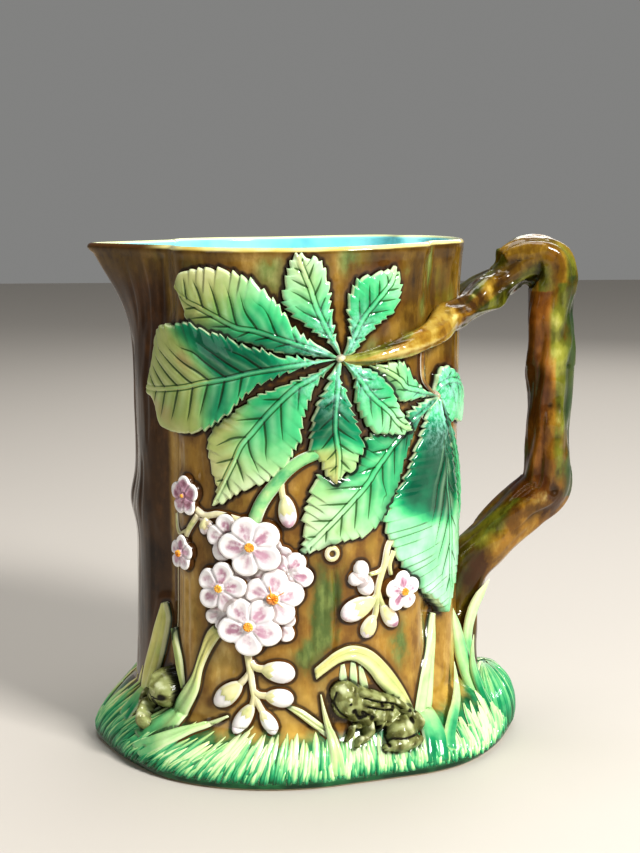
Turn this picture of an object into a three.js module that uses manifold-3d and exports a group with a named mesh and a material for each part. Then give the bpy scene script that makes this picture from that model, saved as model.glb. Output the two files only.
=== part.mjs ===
// Majolica pitcher: one piece of fired, glazed earthenware, hollow and open at the top.
//
// Millimetres, +Z up. The body's own axis is the model's working axis while the
// shape is made: spout towards -X, branch handle towards +X. At the end the whole
// jug is moved along X so that the origin lies under the centre of its box.
//
// Shape: a slightly oval trunk-like body with two shallow vertical grooves a side,
// a V-shaped spout, a foot that flares like a tuft of grass, and a handle like a
// forked branch. Both sides carry the same relief: two five-fingered leaves, a
// spray of blossom, a frog and blades of grass.

import * as THREE from 'three';
import { mergeVertices } from 'three/addons/utils/BufferGeometryUtils.js';
import Module from 'manifold-3d';

const wasm = await Module();
wasm.setup();

// ---------------------------------------------------------------- named sizes
const H_RIM = 200;            // height of the rim at the spout side
const RIM_RISE = 1.5;         // how much the rim rises towards the handle
const SEMI_X = 64.0;          // body half-width along the spout-handle line
const SEMI_Y = 61.3;          // body half-width across it
const SPOUT_REACH = 82.8;     // axis to the tip of the spout
const SPOUT_START = 140;      // height where the spout begins to swell out
const GROOVES = [35, 149];    // degrees from the handle, on each side
const GROOVE_DEPTH = 5.5;
const GROOVE_WIDTH = 8;       // degrees
const WALL = 5;               // wall thickness
const WALL_RIM = 3.5;         // at the rim
const FLOOR_TOP = 9;          // inside floor
const FOOT_RECESS = 3;        // hollow under the foot
const FOOT_IN = 9;            // foot ring, inner edge, in from the skirt
const FOOT_OUT = 1.6;         // foot ring, outer edge, in from the skirt
const FLOOR_FILLET = 8;
const SIDES = 54;             // facets round the outside
const SIDES_IN = 32;          // facets round the inside

// radius of the flared foot, by degrees from the handle
const FOOT_R = [[0, 90.5], [14, 86.5], [30, 83], [42, 80.5], [52, 77], [62, 73], [75, 71],
  [92, 73], [105, 75], [120, 77.5], [136, 79], [150, 78.5], [165, 80], [180, 83.3]];

// ---------------------------------------------------------------- small maths
const rad = THREE.MathUtils.degToRad;
const clamp = THREE.MathUtils.clamp;
const sstep = (a, b, x) => { const t = clamp((x - a) / (b - a), 0, 1); return t * t * (3 - 2 * t); };
const bump = (d, w) => Math.exp(-((d / w) ** 2));
const absAngle = (th) => Math.abs(((th + 180) % 360 + 360) % 360 - 180);

function footRadius(th) {
  const a = absAngle(th);
  let i = 0;
  while (i < FOOT_R.length - 2 && a > FOOT_R[i + 1][0]) i++;
  const [x0, y0] = FOOT_R[i], [x1, y1] = FOOT_R[i + 1];
  const slope = (k) => (k <= 0 || k >= FOOT_R.length - 1) ? 0
    : (FOOT_R[k + 1][1] - FOOT_R[k - 1][1]) / (FOOT_R[k + 1][0] - FOOT_R[k - 1][0]);
  const h = x1 - x0, t = clamp((a - x0) / h, 0, 1), t2 = t * t, t3 = t2 * t;
  return (2 * t3 - 3 * t2 + 1) * y0 + (t3 - 2 * t2 + t) * h * slope(i)
    + (-2 * t3 + 3 * t2) * y1 + (t3 - t2) * h * slope(i + 1);
}

const rimHeight = (th) => H_RIM + RIM_RISE * sstep(-0.2, 1.0, Math.cos(rad(th)));

// trunk of the body without its flared foot
function trunk(th, z) {
  const a = absAngle(th), c = Math.cos(rad(a)), s = Math.sin(rad(a));
  const ax = c > 0 ? SEMI_X - 0.3 : SEMI_X + 0.3;
  let r = 1 / Math.hypot(c / ax, s / SEMI_Y);
  r += 1.8 * bump(z, 38) + 1.6 * sstep(178, 202, z) + 0.5 * bump(z - 160, 30);
  for (const g of GROOVES) r -= GROOVE_DEPTH * (0.75 + 0.25 * sstep(20, 60, z)) * bump(a - g, GROOVE_WIDTH);
  const D = Math.abs(180 - a);
  const tip = SEMI_X + 0.3 + (SPOUT_REACH - SEMI_X - 0.3)
    * clamp((z - SPOUT_START) / (H_RIM - SPOUT_START), 0, 1.05) ** 2.2;
  const k = (tip - 50.5) / 29;
  const Dr = rad(Math.sqrt(D * D + 4) - 2);
  const vee = tip / (Math.cos(Dr) + k * Math.sin(Dr));
  const w = sstep(SPOUT_START, 192, z) * sstep(36, 24, D);
  r = r * (1 - w) + vee * w;
  return r + 2.4 * bump(z - 98, 9) * bump(D, 16);
}

const skirtHeight = (th) => { const a = absAngle(th); return 20 + 5 * sstep(120, 170, a) + 7 * sstep(40, 8, a); };
const skirtReach = (th) => Math.max(footRadius(th) - trunk(th, 2), 0);

function skirt(th, z) {
  const t = clamp(z / skirtHeight(th), 0, 1);
  return skirtReach(th) * (1 - t ** 1.9 + 0.045 * bump(t - 1, 0.22));
}

function outer(th, z) {
  const edge = clamp((2.2 - z) / 2.2, 0, 1);
  return trunk(th, z) + skirt(th, z) - FOOT_OUT * edge * edge;
}

function inner(th, z) {
  const wall = WALL + (WALL_RIM - WALL) * sstep(176, 196, z);
  const zf = Math.max(z, FLOOR_TOP + FLOOR_FILLET);
  let r = trunk(th, zf) + 0.35 * skirt(th, zf) - wall;
  const up = FLOOR_TOP + FLOOR_FILLET - z;
  if (up > 0) r -= FLOOR_FILLET - Math.sqrt(Math.max(FLOOR_FILLET ** 2 - up * up, 0));
  return r;
}

// ---------------------------------------------------------------- solids
function toSolid(geometry, weld = 1e-4) {
  const g = geometry.clone();
  g.deleteAttribute('normal');
  g.deleteAttribute('uv');
  const m = mergeVertices(g, weld);
  return new wasm.Manifold(new wasm.Mesh({
    numProp: 3,
    vertProperties: new Float32Array(m.attributes.position.array),
    triVerts: new Uint32Array(m.index.array),
  }));
}

// the same shape on the other side of the spout-handle plane
function mirrored(geometry) {
  const g = geometry.clone();
  g.scale(1, -1, 1);
  const ix = g.index.array;
  for (let i = 0; i < ix.length; i += 3) { const t = ix[i]; ix[i] = ix[i + 1]; ix[i + 1] = t; }
  return g;
}

// A lathe whose rows are [radius(th), height(th)] functions: an oval or lobed turning.
function turned(rows, sides) {
  const profile = rows.map((_, j) => new THREE.Vector2(j === 0 || j === rows.length - 1 ? 0 : 1, j));
  const g = new THREE.LatheGeometry(profile, sides);
  const p = g.attributes.position;
  for (let k = 0; k < p.count; k++) {
    const i = Math.floor(k / rows.length) % sides, j = k % rows.length;
    const th = 360 * i / sides;
    const [r, z] = rows[j](th);
    p.setXYZ(k, r * Math.cos(rad(th)), r * Math.sin(rad(th)), z);
  }
  return g;
}

const OUT_ROWS = [2.2, 9, 15, 20, 27, 42, 88, 98, 108, 142, 164, 180];
const outside = turned([
  () => [0, FOOT_RECESS],
  (th) => [footRadius(th) - FOOT_IN - 2, FOOT_RECESS],
  (th) => [footRadius(th) - FOOT_IN, 0],
  (th) => [footRadius(th) - FOOT_OUT, 0],
  ...OUT_ROWS.map((z) => (th) => [outer(th, z), z]),
  (th) => [outer(th, rimHeight(th) - 1), rimHeight(th) - 1],
  (th) => [outer(th, rimHeight(th)) - 1, rimHeight(th)],
  () => [0, H_RIM + 0.5],
], SIDES);

const IN_ROWS = [10.5, 17, 30, 98, 142, 164, 180];
const hollow = turned([
  () => [0, FLOOR_TOP],
  (th) => [inner(th, FLOOR_TOP), FLOOR_TOP],
  ...IN_ROWS.map((z) => (th) => [inner(th, z), z]),
  (th) => [inner(th, rimHeight(th) - 1), rimHeight(th) - 1],
  (th) => [inner(th, rimHeight(th)) + 0.8, rimHeight(th) + 0.02],
  (th) => [inner(th, rimHeight(th)) + 0.8, rimHeight(th) + 8],
  () => [0, H_RIM + 9],
], SIDES_IN);

// A branch: a closed cylinder bent along a curve, its radius following sizes along it.
function limb(points, radii, { around = 8, along = 12, up = [0, 1, 0] } = {}) {
  const curve = new THREE.CatmullRomCurve3(points.map((q) => new THREE.Vector3(...q)), false, 'centripetal');
  const g = new THREE.CylinderGeometry(1, 1, 1, around, along);
  const p = g.attributes.position, ref = new THREE.Vector3(...up);
  for (let k = 0; k < p.count; k++) {
    const t = clamp(p.getY(k) + 0.5, 0, 1), x = p.getX(k), z = p.getZ(k);
    const c = curve.getPoint(t), T = curve.getTangent(t);
    const N = new THREE.Vector3().crossVectors(T, ref).normalize();
    const B = new THREE.Vector3().crossVectors(N, T);
    const f = t * (radii.length - 1), i = Math.min(Math.floor(f), radii.length - 2);
    const r = radii[i] + (radii[i + 1] - radii[i]) * (f - i);
    c.addScaledVector(N, x * r).addScaledVector(B, z * r);
    p.setXYZ(k, c.x, c.y, c.z);
  }
  return g;
}

// A blade on the surface: flat shape in (along the surface, height), raised in the middle.
const ARC = 62 * Math.PI / 180;                       // mm of surface per degree
const onBody = (u, v, lift) => {
  const th = u / ARC - 90, r = outer(th, v) + lift;
  return [r * Math.cos(rad(th)), r * Math.sin(rad(th)), v];
};
function blade({ from, bend, to, left, right, peak = 0.6, lift = 2.2, steps = 4 }) {
  const curve = new THREE.QuadraticBezierCurve(new THREE.Vector2(...from),
    new THREE.Vector2(2 * bend[0] - (from[0] + to[0]) / 2, 2 * bend[1] - (from[1] + to[1]) / 2),
    new THREE.Vector2(...to));
  const b = 0.55, a = b * peak / (1 - peak), top = peak ** a * (1 - peak) ** b;
  const g = new THREE.BoxGeometry(1, 1, 1, steps, 2, 1);
  const p = g.attributes.position;
  for (let k = 0; k < p.count; k++) {
    const s = 0.02 + 0.96 * (p.getX(k) + 0.5), t = 2 * p.getY(k), top_ = p.getZ(k) > 0;
    const c = curve.getPoint(s), T = curve.getTangent(s);
    const w = Math.max((t > 0 ? left : right) * (s ** a * (1 - s) ** b) / top, 0.8) * t;
    const u = c.x - T.y * w, v = clamp(c.y + T.x * w, 1.2, 196.5);
    p.setXYZ(k, ...onBody(u, v, top_ ? lift * (1 - 0.45 * Math.abs(t)) : -2.2));
  }
  return g;
}

// A five-petalled blossom, or a bud when petals is 0, standing on the surface.
function blossom(u, v, size, { petals = 5, lift = 3 } = {}) {
  const n = petals ? petals * 2 : 5;
  const g = new THREE.CylinderGeometry(1, 1, 1, n, 1);
  const p = g.attributes.position;
  for (let k = 0; k < p.count; k++) {
    const x = p.getX(k), z = p.getZ(k), flat = Math.hypot(x, z);
    const phi = Math.atan2(z, x), lobes = petals ? 0.86 + 0.14 * Math.cos(petals * phi) : 1;
    const r = flat < 0.5 ? 0 : size * lobes;
    const high = p.getY(k) > 0;
    p.setXYZ(k, ...onBody(u + r * Math.sin(phi), clamp(v + r * Math.cos(phi), 1, 197), high ? (flat < 0.5 ? lift : lift * 0.7) : -2.2));
  }
  return g;
}

// A rounded lump on the surface, for a frog's head, back and haunch.
function lump(u, v, ru, rv, lift) {
  const g = new THREE.SphereGeometry(1, 7, 5);
  const p = g.attributes.position;
  for (let k = 0; k < p.count; k++) {
    p.setXYZ(k, ...onBody(u + ru * p.getX(k), Math.max(v + rv * p.getY(k), 0.6), 0.6 + (lift - 0.6) * p.getZ(k)));
  }
  return g;
}

// ---------------------------------------------------------------- relief
const HUB_A = [10.2, 160], HUB_B = [57, 142];
const leaves = [
  { from: HUB_A, bend: [-21, 170.5], to: [-53, 187], left: 7, right: 17.5, peak: 0.64 },
  { from: HUB_A, bend: [-31, 152], to: [-71.5, 146], left: 17, right: 22.5, peak: 0.7, lift: 2.6 },
  { from: HUB_A, bend: [-16, 140], to: [-37.5, 104], left: 16.5, right: 12.5, peak: 0.58 },
  { from: HUB_A, bend: [8.4, 137], to: [9, 113], left: 10, right: 9.4, peak: 0.6 },
  { from: HUB_A, bend: [23.5, 144.5], to: [40.5, 131.5], left: 8, right: 9.2, peak: 0.55, lift: 3.4 },
  { from: HUB_A, bend: [1, 180], to: [-5.7, 198], left: 7.2, right: 10.6, peak: 0.62, lift: 1.8 },
  { from: HUB_A, bend: [20, 176.5], to: [32, 193.5], left: 10, right: 8.6, peak: 0.6, lift: 1.8 },
  { from: HUB_B, bend: [70, 141], to: [83, 139], left: 11, right: 9.5, peak: 0.4 },
  { from: HUB_B, bend: [27, 121.5], to: [-5.5, 86.4], left: 15, right: 12.5, peak: 0.58 },
  { from: HUB_B, bend: [62, 98], to: [66, 55], left: 12, right: 33, peak: 0.5, lift: 2.4 },
  { from: HUB_B, bend: [69.5, 115], to: [71, 90], left: 7, right: 3, peak: 0.66, lift: 2.8 },
].map(blade);

const GRASS = [   // root, bend, tip, half-width of each blade
  [[-77, 24], [-72, 43], [-68, 62], 2.6], [[-52, 12], [-40, 36], [-33, 62], 2.8],
 [[38, 12], [54, 30], [62, 56], 3.2],
  [[77, 16], [74, 38], [69, 55], 2.8],
].map(([from, bend, to, w]) => blade({ from, bend, to, left: w, right: w, peak: 0.35, lift: 2.2, steps: 3 }));

const BLOSSOM = [ // along, height, radius
  [-22, 90, 10], [-33, 73.5, 9], [-16, 69.5, 10], [-23.2, 59.7, 11], [-8.8, 81, 7.5],
  [-34.5, 92.6, 7.5], [-49, 107.9, 7], [-51.2, 84, 9], [36.6, 70.3, 7.6],
].map(([u, v, r]) => blossom(u, v, r));
const BUDS = [
  [-8, 101.3, 4.5], [-11.6, 42.4, 5], [-32, 32.4, 5], [-21, 23.2, 6.5], [27, 59.5, 6],
].map(([u, v, r]) => blossom(u, v, r, { petals: 0, lift: 3.4 }));

const onSurface = (list, lift) => list.map(([u, v]) => onBody(u, v, lift));
const out = [0.3, -0.9, 0.2];
const STEMS = [
  [[[10, 158], [1, 125], [-8, 119.3], [-15.2, 111.7], [-20, 101.5], [-22, 92]], [1.4, 1.6, 2, 2, 2, 1.6]],
  [[[40, 17], [34.8, 31.8], [27, 41.7], [19.3, 48.2], [12.2, 49.7], [5.8, 46.3], [1.8, 41]], [1.5, 2, 2, 2, 2, 1.8, 1.2]],
].map(([list, radii]) => limb(onSurface(list, 0.9), radii, { around: 5, along: 6, up: out }));

const FROGS = [   // the large frog at the front and a small one by the spout
  lump(12.5, 32, 8, 7, 8.5), lump(25, 25, 12, 9, 9), lump(32.5, 15.5, 10, 10, 8),
  lump(-67, 23, 10, 10, 6.5),
];

// ---------------------------------------------------------------- branch handle
const bar = limb([[62, 0, 38], [66.5, 0, 52], [70.5, 0, 65.5], [81.5, 0, 78.5], [94.5, 0, 91.6], [102.4, 0, 99],
  [103.5, 0, 112], [103.2, 0, 130], [103.7, 0, 150], [103.6, 0, 170], [104, 0, 184], [101.5, 0, 192.5],
  [92, 0, 193.4], [84, 0, 190]],
[6, 8.6, 9.6, 9.4, 9.2, 9.0, 8.8, 8.6, 8.7, 8.5, 9.1, 9.4, 9.0, 7.5], { around: 9, along: 16 });
const stub = limb([[103, 0, 189], [108, 0, 193], [112.4, 0, 195.3]], [7, 6, 4.4], { around: 7, along: 2 });
const arm = limb([[93, 0, 193.2], [86, -1.5, 190.5], [80, -5.5, 187], [74.5, -12, 182], [68, -21, 178.2], [59, -31, 175],
  onBody((-54 + 90) * ARC, 169.3, 1.4), onBody((-68 + 90) * ARC, 165.2, 1), onBody((-79.5 + 90) * ARC, 160.3, 0.6)],
[8.4, 8.2, 7.8, 7.2, 6.6, 5.6, 4.4, 3.0, 1.5], { around: 7, along: 12, up: [0, 0, 1] });

// ---------------------------------------------------------------- one fired piece
let jug = toSolid(outside).subtract(toSolid(hollow));
const applied = [...leaves, ...GRASS, ...BLOSSOM, ...BUDS, ...STEMS, ...FROGS, arm];
const boss = [bar, stub, ...applied.flatMap((g) => [g, mirrored(g)])].map((g) => toSolid(g));
for (const b of boss) jug = jug.add(b);
jug = jug.subtract(toSolid(hollow));

function toGeometry(solid) {
  const mesh = solid.getMesh();
  const g = new THREE.BufferGeometry();
  g.setAttribute('position', new THREE.BufferAttribute(new Float32Array(mesh.vertProperties), 3));
  g.setIndex(new THREE.BufferAttribute(new Uint32Array(mesh.triVerts), 1));
  return g;
}

// weld the hair-thin slivers that joining leaves, and keep the one body
const welded = toSolid(toGeometry(jug), 4e-3).decompose().sort((a, b) => b.volume() - a.volume())[0];
const geometry = toGeometry(welded);
geometry.computeVertexNormals();
geometry.computeBoundingBox();

const pitcher = new THREE.Mesh(geometry, new THREE.MeshStandardMaterial({ color: 0x7a5426, roughness: 0.12, metalness: 0 }));
pitcher.name = 'pitcher';
pitcher.position.x = -(geometry.boundingBox.min.x + geometry.boundingBox.max.x) / 2;

const model = new THREE.Group();
model.add(pitcher);
export default model;
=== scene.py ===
# Looks of a majolica pitcher: a trunk-like body with pinched spout, flared grassy foot, forked branch
# handle, and relief of two palmate leaves, blossom sprays, grass blades and frogs. All lengths are in
# millimetres in the pitcher's own turning axis, and go to metres in the shared frame by to_m().
import bpy, math
import numpy as np
from mathutils import Vector, Matrix


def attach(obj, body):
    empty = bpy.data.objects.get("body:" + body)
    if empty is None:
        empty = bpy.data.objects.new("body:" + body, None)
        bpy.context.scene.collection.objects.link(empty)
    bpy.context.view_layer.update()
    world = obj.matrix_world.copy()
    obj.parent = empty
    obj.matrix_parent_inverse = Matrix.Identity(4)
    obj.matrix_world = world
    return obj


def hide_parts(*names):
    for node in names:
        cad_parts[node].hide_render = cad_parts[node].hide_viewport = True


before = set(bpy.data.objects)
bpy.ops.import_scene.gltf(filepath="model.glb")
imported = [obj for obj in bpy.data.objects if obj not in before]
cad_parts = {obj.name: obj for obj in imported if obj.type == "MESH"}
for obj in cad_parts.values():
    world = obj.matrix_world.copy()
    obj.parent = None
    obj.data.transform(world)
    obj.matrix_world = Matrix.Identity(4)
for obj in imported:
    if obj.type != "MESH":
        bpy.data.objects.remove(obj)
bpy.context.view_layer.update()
SHIFT = -15.629            # the turning axis lies this far along X from the frame's origin
RNG = np.random.RandomState(7)

# ------------------------------------------------------------------ the body's surface
H_RIM = 200.0
NOTCH, NOTCH_D, NOTCH_W = (35.0, 149.0), 5.5, 8.0
BASE = ((0, 90.5), (14, 86.5), (30, 83), (42, 80.5), (52, 77), (62, 73), (75, 71), (92, 73), (105, 75),
        (120, 77.5), (136, 79), (150, 78.5), (165, 80), (180, 83.3))


def sstep(a, b, x):
    t = np.clip((np.asarray(x, float) - a) / (b - a), 0, 1)
    return t * t * (3 - 2 * t)


def gauss(d, w):
    return np.exp(-(d / w) ** 2)


def wrap(d):
    return (d + 180) % 360 - 180


def base_r(th):
    a = np.abs(wrap(th))
    xs = np.array([p[0] for p in BASE], float); ys = np.array([p[1] for p in BASE], float)
    i = np.clip(np.searchsorted(xs, a, side="right") - 1, 0, len(xs) - 2)
    h = xs[i + 1] - xs[i]; t = (a - xs[i]) / h
    d = np.gradient(ys, xs); d[0] = 0; d[-1] = 0
    return ((2 * t**3 - 3 * t**2 + 1) * ys[i] + (t**3 - 2 * t**2 + t) * h * d[i]
            + (-2 * t**3 + 3 * t**2) * ys[i + 1] + (t**3 - t**2) * h * d[i + 1])


def z_rim(th):
    return H_RIM + 1.5 * sstep(-0.2, 1.0, np.cos(np.radians(th)))


def trunk(th, z, fill=0.0):
    th = np.asarray(th, float); z = np.asarray(z, float)
    a = np.abs(wrap(th)); c = np.cos(np.radians(a)); s = np.sin(np.radians(a))
    ax = np.where(c > 0, 63.7, 64.3)
    r = 1 / np.sqrt((c / ax) ** 2 + (s / 61.3) ** 2)
    r = r + 1.8 * gauss(z, 38.0) + 1.6 * sstep(178, 202, z) + 0.5 * gauss(z - 160, 30.0)
    nd = NOTCH_D * (0.75 + 0.25 * sstep(20, 60, z)) * (1 - fill)
    r = r - sum(nd * gauss(a - n, NOTCH_W) for n in NOTCH)
    D = np.abs(180 - a)
    tip = 64.3 + (82.8 - 64.3) * np.clip((z - 140) / 60, 0, 1.05) ** 2.2
    k = (tip - 50.5) / 29.0
    Dr = np.radians(np.sqrt(D * D + 4.0) - 2.0)
    vee = tip / (np.cos(Dr) + k * np.sin(Dr))
    w = sstep(140, 192, z) * sstep(36, 24, D)
    r = r * (1 - w) + vee * w
    return r + 2.4 * gauss(z - 98, 9.0) * gauss(D, 16.0)


def skirt_h(th):
    a = np.abs(wrap(th))
    return 20 + 5 * sstep(120, 170, a) + 7 * sstep(40, 8, a)


def outer(th, z, fill=0.0):
    r = trunk(th, z, fill)
    zs = skirt_h(th)
    t = np.clip(np.asarray(z, float) / zs, 0, 1)
    F = 1 - t**1.9 + 0.045 * gauss(t - 1.0, 0.22)
    ext = np.maximum(base_r(th) - trunk(th, 0 * z + 2.0), 0)
    r = r + ext * F
    edge = np.clip((2.2 - z) / 2.2, 0, 1)
    return r - 1.6 * edge**2


KU = 62 * math.pi / 180     # design plane: U runs along the front, 1.0821 mm a degree, and V is the height


def surf(U, V, fill=0.0):
    th = np.asarray(U, float) / KU - 90
    r = outer(th, V, fill); a = np.radians(th)
    return np.stack([r * np.cos(a), r * np.sin(a), np.asarray(V, float) + 0 * r], -1)


def normal(U, V, fill=0.0):
    e = 0.4
    dU = surf(U + e, V, fill) - surf(U - e, V, fill)
    dV = surf(U, V + e, fill) - surf(U, V - e, fill)
    n = np.cross(dU, dV)
    return n / np.maximum(np.linalg.norm(n, axis=-1, keepdims=True), 1e-9)


def lifted(U, V, h, fill=0.0):
    """A point h out from the surface at (U, V)."""
    return surf(U, V, fill) + normal(U, V, fill) * np.asarray(h, float)[..., None]


def to_m(P):
    P = np.array(P, float)
    P[..., 0] += SHIFT
    return P / 1000.0


# ------------------------------------------------------------------ curves, noise and distances
def spline(pts, n):
    """n points, evenly spaced, on a smooth curve through pts."""
    P = np.asarray(pts, float)
    if len(P) == 2:
        return P[0] + (P[1] - P[0]) * np.linspace(0, 1, n)[:, None]
    d = np.sqrt(np.maximum(np.linalg.norm(np.diff(P, axis=0), axis=1), 1e-6))
    t = np.r_[0, np.cumsum(d)]
    m = np.gradient(P, t, axis=0)
    out = []
    for i in range(len(P) - 1):
        u = np.linspace(0, 1, 24, endpoint=False)[:, None]; h = t[i + 1] - t[i]
        out.append((2 * u**3 - 3 * u**2 + 1) * P[i] + (u**3 - 2 * u**2 + u) * h * m[i]
                   + (-2 * u**3 + 3 * u**2) * P[i + 1] + (u**3 - u**2) * h * m[i + 1])
    Q = np.vstack(out + [P[-1:]])
    return resample(Q, n)


def resample(Q, n):
    s = np.r_[0, np.cumsum(np.linalg.norm(np.diff(Q, axis=0), axis=1))]
    x = np.linspace(0, s[-1], n)
    return np.stack([np.interp(x, s, Q[:, k]) for k in range(Q.shape[1])], -1)


def length(Q):
    return float(np.linalg.norm(np.diff(Q, axis=0), axis=1).sum())


def unit(v):
    return v / np.maximum(np.linalg.norm(v, axis=-1, keepdims=True), 1e-9)


_tab = RNG.rand(64, 64)


def vnoise(x, y):
    """Smooth value noise, 0 to 1, period 64."""
    xi = np.floor(x).astype(int); yi = np.floor(y).astype(int)
    fx = x - xi; fy = y - yi
    fx = fx * fx * (3 - 2 * fx); fy = fy * fy * (3 - 2 * fy)
    g = lambda i, j: _tab[i % 64, j % 64]
    return ((g(xi, yi) * (1 - fx) + g(xi + 1, yi) * fx) * (1 - fy)
            + (g(xi, yi + 1) * (1 - fx) + g(xi + 1, yi + 1) * fx) * fy)


class Field:
    """Distance in the design plane to the outlines stamped so far."""
    U0, V0, C = -112.0, -6.0, 0.35

    def __init__(s):
        s.nu, s.nv = int(236 / s.C), int(216 / s.C)
        s.d = np.full((s.nv, s.nu), 12.0, np.float32)

    def stamp(s, pts, reach=7.0):
        k = int(reach / s.C)
        for u, v in np.asarray(pts, float):
            iu = int((u - s.U0) / s.C); iv = int((v - s.V0) / s.C)
            a0, a1 = max(iv - k, 0), min(iv + k + 1, s.nv); b0, b1 = max(iu - k, 0), min(iu + k + 1, s.nu)
            if a0 >= a1 or b0 >= b1:
                continue
            du = (np.arange(b0, b1) + 0.5) * s.C + s.U0 - u
            dv = (np.arange(a0, a1) + 0.5) * s.C + s.V0 - v
            dd = np.sqrt(du[None, :] ** 2 + dv[:, None] ** 2)
            w = s.d[a0:a1, b0:b1]
            np.minimum(w, dd, out=w)

    def at(s, U, V):
        x = np.clip((np.asarray(U) - s.U0) / s.C - 0.5, 0, s.nu - 1.01)
        y = np.clip((np.asarray(V) - s.V0) / s.C - 0.5, 0, s.nv - 1.01)
        i = x.astype(int); j = y.astype(int); fx = x - i; fy = y - j
        d = s.d
        return ((d[j, i] * (1 - fx) + d[j, i + 1] * fx) * (1 - fy) + (d[j + 1, i] * (1 - fx) + d[j + 1, i + 1] * fx) * fy)


ABOVE = Field()      # grows from the top layer of relief down to the body


# ------------------------------------------------------------------ meshes
class Bag:
    """Closed bodies gathered into one mesh object, with named numbers at each vertex."""

    def __init__(s, name, attrs):
        s.name, s.names = name, attrs
        s.v, s.f, s.n = [], [], 0
        s.a = {k: [] for k in attrs}

    def add(s, V, faces, **at):
        V = np.asarray(V, float).reshape(-1, 3)
        for F, m in faces:
            F = np.asarray(F, int)
            if len(F):
                s.f.append((F + s.n, m))
        s.v.append(V); s.n += len(V)
        for k in s.names:
            s.a[k].append(np.broadcast_to(np.asarray(at.get(k, 0.0), float).reshape(-1), (len(V),)).copy())

    def make(s, mats, smooth=True):
        V = to_m(np.concatenate(s.v)); me = bpy.data.meshes.new(s.name)
        me.vertices.add(len(V)); me.vertices.foreach_set("co", V.astype(np.float32).ravel())
        sizes = np.concatenate([np.full(len(F), F.shape[1]) for F, m in s.f])
        flat = np.concatenate([F.ravel() for F, m in s.f])
        mat = np.concatenate([np.full(len(F), m) for F, m in s.f])
        me.loops.add(len(flat)); me.loops.foreach_set("vertex_index", flat.astype(np.int32))
        me.polygons.add(len(sizes))
        me.polygons.foreach_set("loop_start", np.r_[0, np.cumsum(sizes)[:-1]].astype(np.int32))
        me.polygons.foreach_set("material_index", mat.astype(np.int32))
        me.polygons.foreach_set("use_smooth", np.full(len(sizes), smooth))
        me.update(calc_edges=True)
        for k in s.names:
            at = me.attributes.new(k, "FLOAT", "POINT")
            at.data.foreach_set("value", np.concatenate(s.a[k]).astype(np.float32))
        me.validate()
        for m in mats:
            me.materials.append(m)
        ob = bpy.data.objects.new(s.name, me)
        bpy.context.scene.collection.objects.link(ob)
        tris = int((sizes - 2).sum())
        print("piece", s.name, "triangles", tris)
        return ob


def facing(P, F, out):
    """The quads or triangles F turned, if need be, so that they face along out at their first corners."""
    F = np.asarray(F, int)
    n = np.cross(P[F[:, 1]] - P[F[:, 0]], P[F[:, 2]] - P[F[:, 0]])
    return F if float((n * out[F[:, 0]]).sum()) >= 0 else F[:, ::-1]


def put(bag, V, faces, mirror, **at):
    """Adds a closed body, and with mirror its twin on the far side."""
    bag.add(V, faces, **at)
    if mirror:
        W = V.copy(); W[:, 1] *= -1
        bag.add(W, [(np.asarray(F)[:, ::-1], m) for F, m in faces], **at)


def strip_body(P, out, back, front, mat=0, mat_of=None):
    """A closed body from a grid of points P (rows, columns): its first and last column lie below the
    surface, back and front are the buried points that its ends run down to."""
    R, C = P.shape[:2]
    V = np.vstack([P.reshape(-1, 3), back, front])
    O = np.vstack([out.reshape(-1, 3), out[0, C // 2], out[-1, C // 2]])
    idx = np.arange(R * C).reshape(R, C); b, f = R * C, R * C + 1
    q = np.stack([idx[:-1, :-1], idx[1:, :-1], idx[1:, 1:], idx[:-1, 1:]], -1)
    flip = facing(V, q.reshape(-1, 4), O)[0, 0] != q.reshape(-1, 4)[0, 0]
    faces = []
    colmat = np.zeros(C - 1, int) + mat if mat_of is None else np.asarray(mat_of)
    t = lambda F: F[:, ::-1] if flip else F
    for m in np.unique(colmat):
        k = np.where(colmat == m)[0]
        faces.append((t(q[:, k].reshape(-1, 4)), int(m)))
        faces.append((t(np.stack([np.full(len(k), b), idx[0, k], idx[0, k + 1]], -1)), int(m)))
        faces.append((t(np.stack([np.full(len(k), f), idx[-1, k + 1], idx[-1, k]], -1)), int(m)))
    low = np.stack([idx[:-1, 0], idx[:-1, -1], idx[1:, -1], idx[1:, 0]], -1)
    faces.append((t(low), mat))
    faces.append((t(np.array([[b, idx[0, -1], idx[0, 0]], [f, idx[-1, 0], idx[-1, -1]]])), mat))
    return V, faces


# ------------------------------------------------------------------ leaflets
LEAF_ATTRS = ["q", "qp", "vx", "vf", "edge", "tone", "warm", "above", "cs", "hub"]
leaves = Bag("palmate_leaves", LEAF_ATTRS)
leaves_far = Bag("palmate_leaves_far_side", LEAF_ATTRS)


def tooth_line(E, M, pitch, depth, lean, s0, s1, phase=0.0, smooth_from=2.0):
    """Outline E with forward-pointing saw teeth, away from the midrib M."""
    n = len(E)
    T = unit(np.gradient(E, axis=0)); N = np.stack([-T[:, 1], T[:, 0]], -1)
    side = np.sign(((E - M) * N).sum(1)); side[side == 0] = 1
    side = np.sign(side[n // 4: 3 * n // 4].sum()) or 1.0
    N = N * side
    x = np.r_[0, np.cumsum(np.linalg.norm(np.diff(E, axis=0), axis=1))]
    jit = 0.25 * pitch * np.sin(x * 2 * math.pi / (pitch * 3.7) + phase * 5)
    fr = ((x + jit) / pitch + phase) % 1.0
    f = np.where(fr < 0.84, fr / 0.84, (1 - fr) / 0.16)
    s = np.linspace(0, 1, n)
    env = sstep(s0, s0 + 0.08, s) * sstep(s1, s1 - 0.04, s) * (1 - 0.85 * sstep(smooth_from, smooth_from + 0.06, s))
    amp = depth * (0.75 + 0.25 * np.sin(x * 0.9 + phase * 9)) * env
    return E + N * (amp * (f - 0.55))[:, None] + T * (lean * depth * f * env)[:, None]


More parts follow.
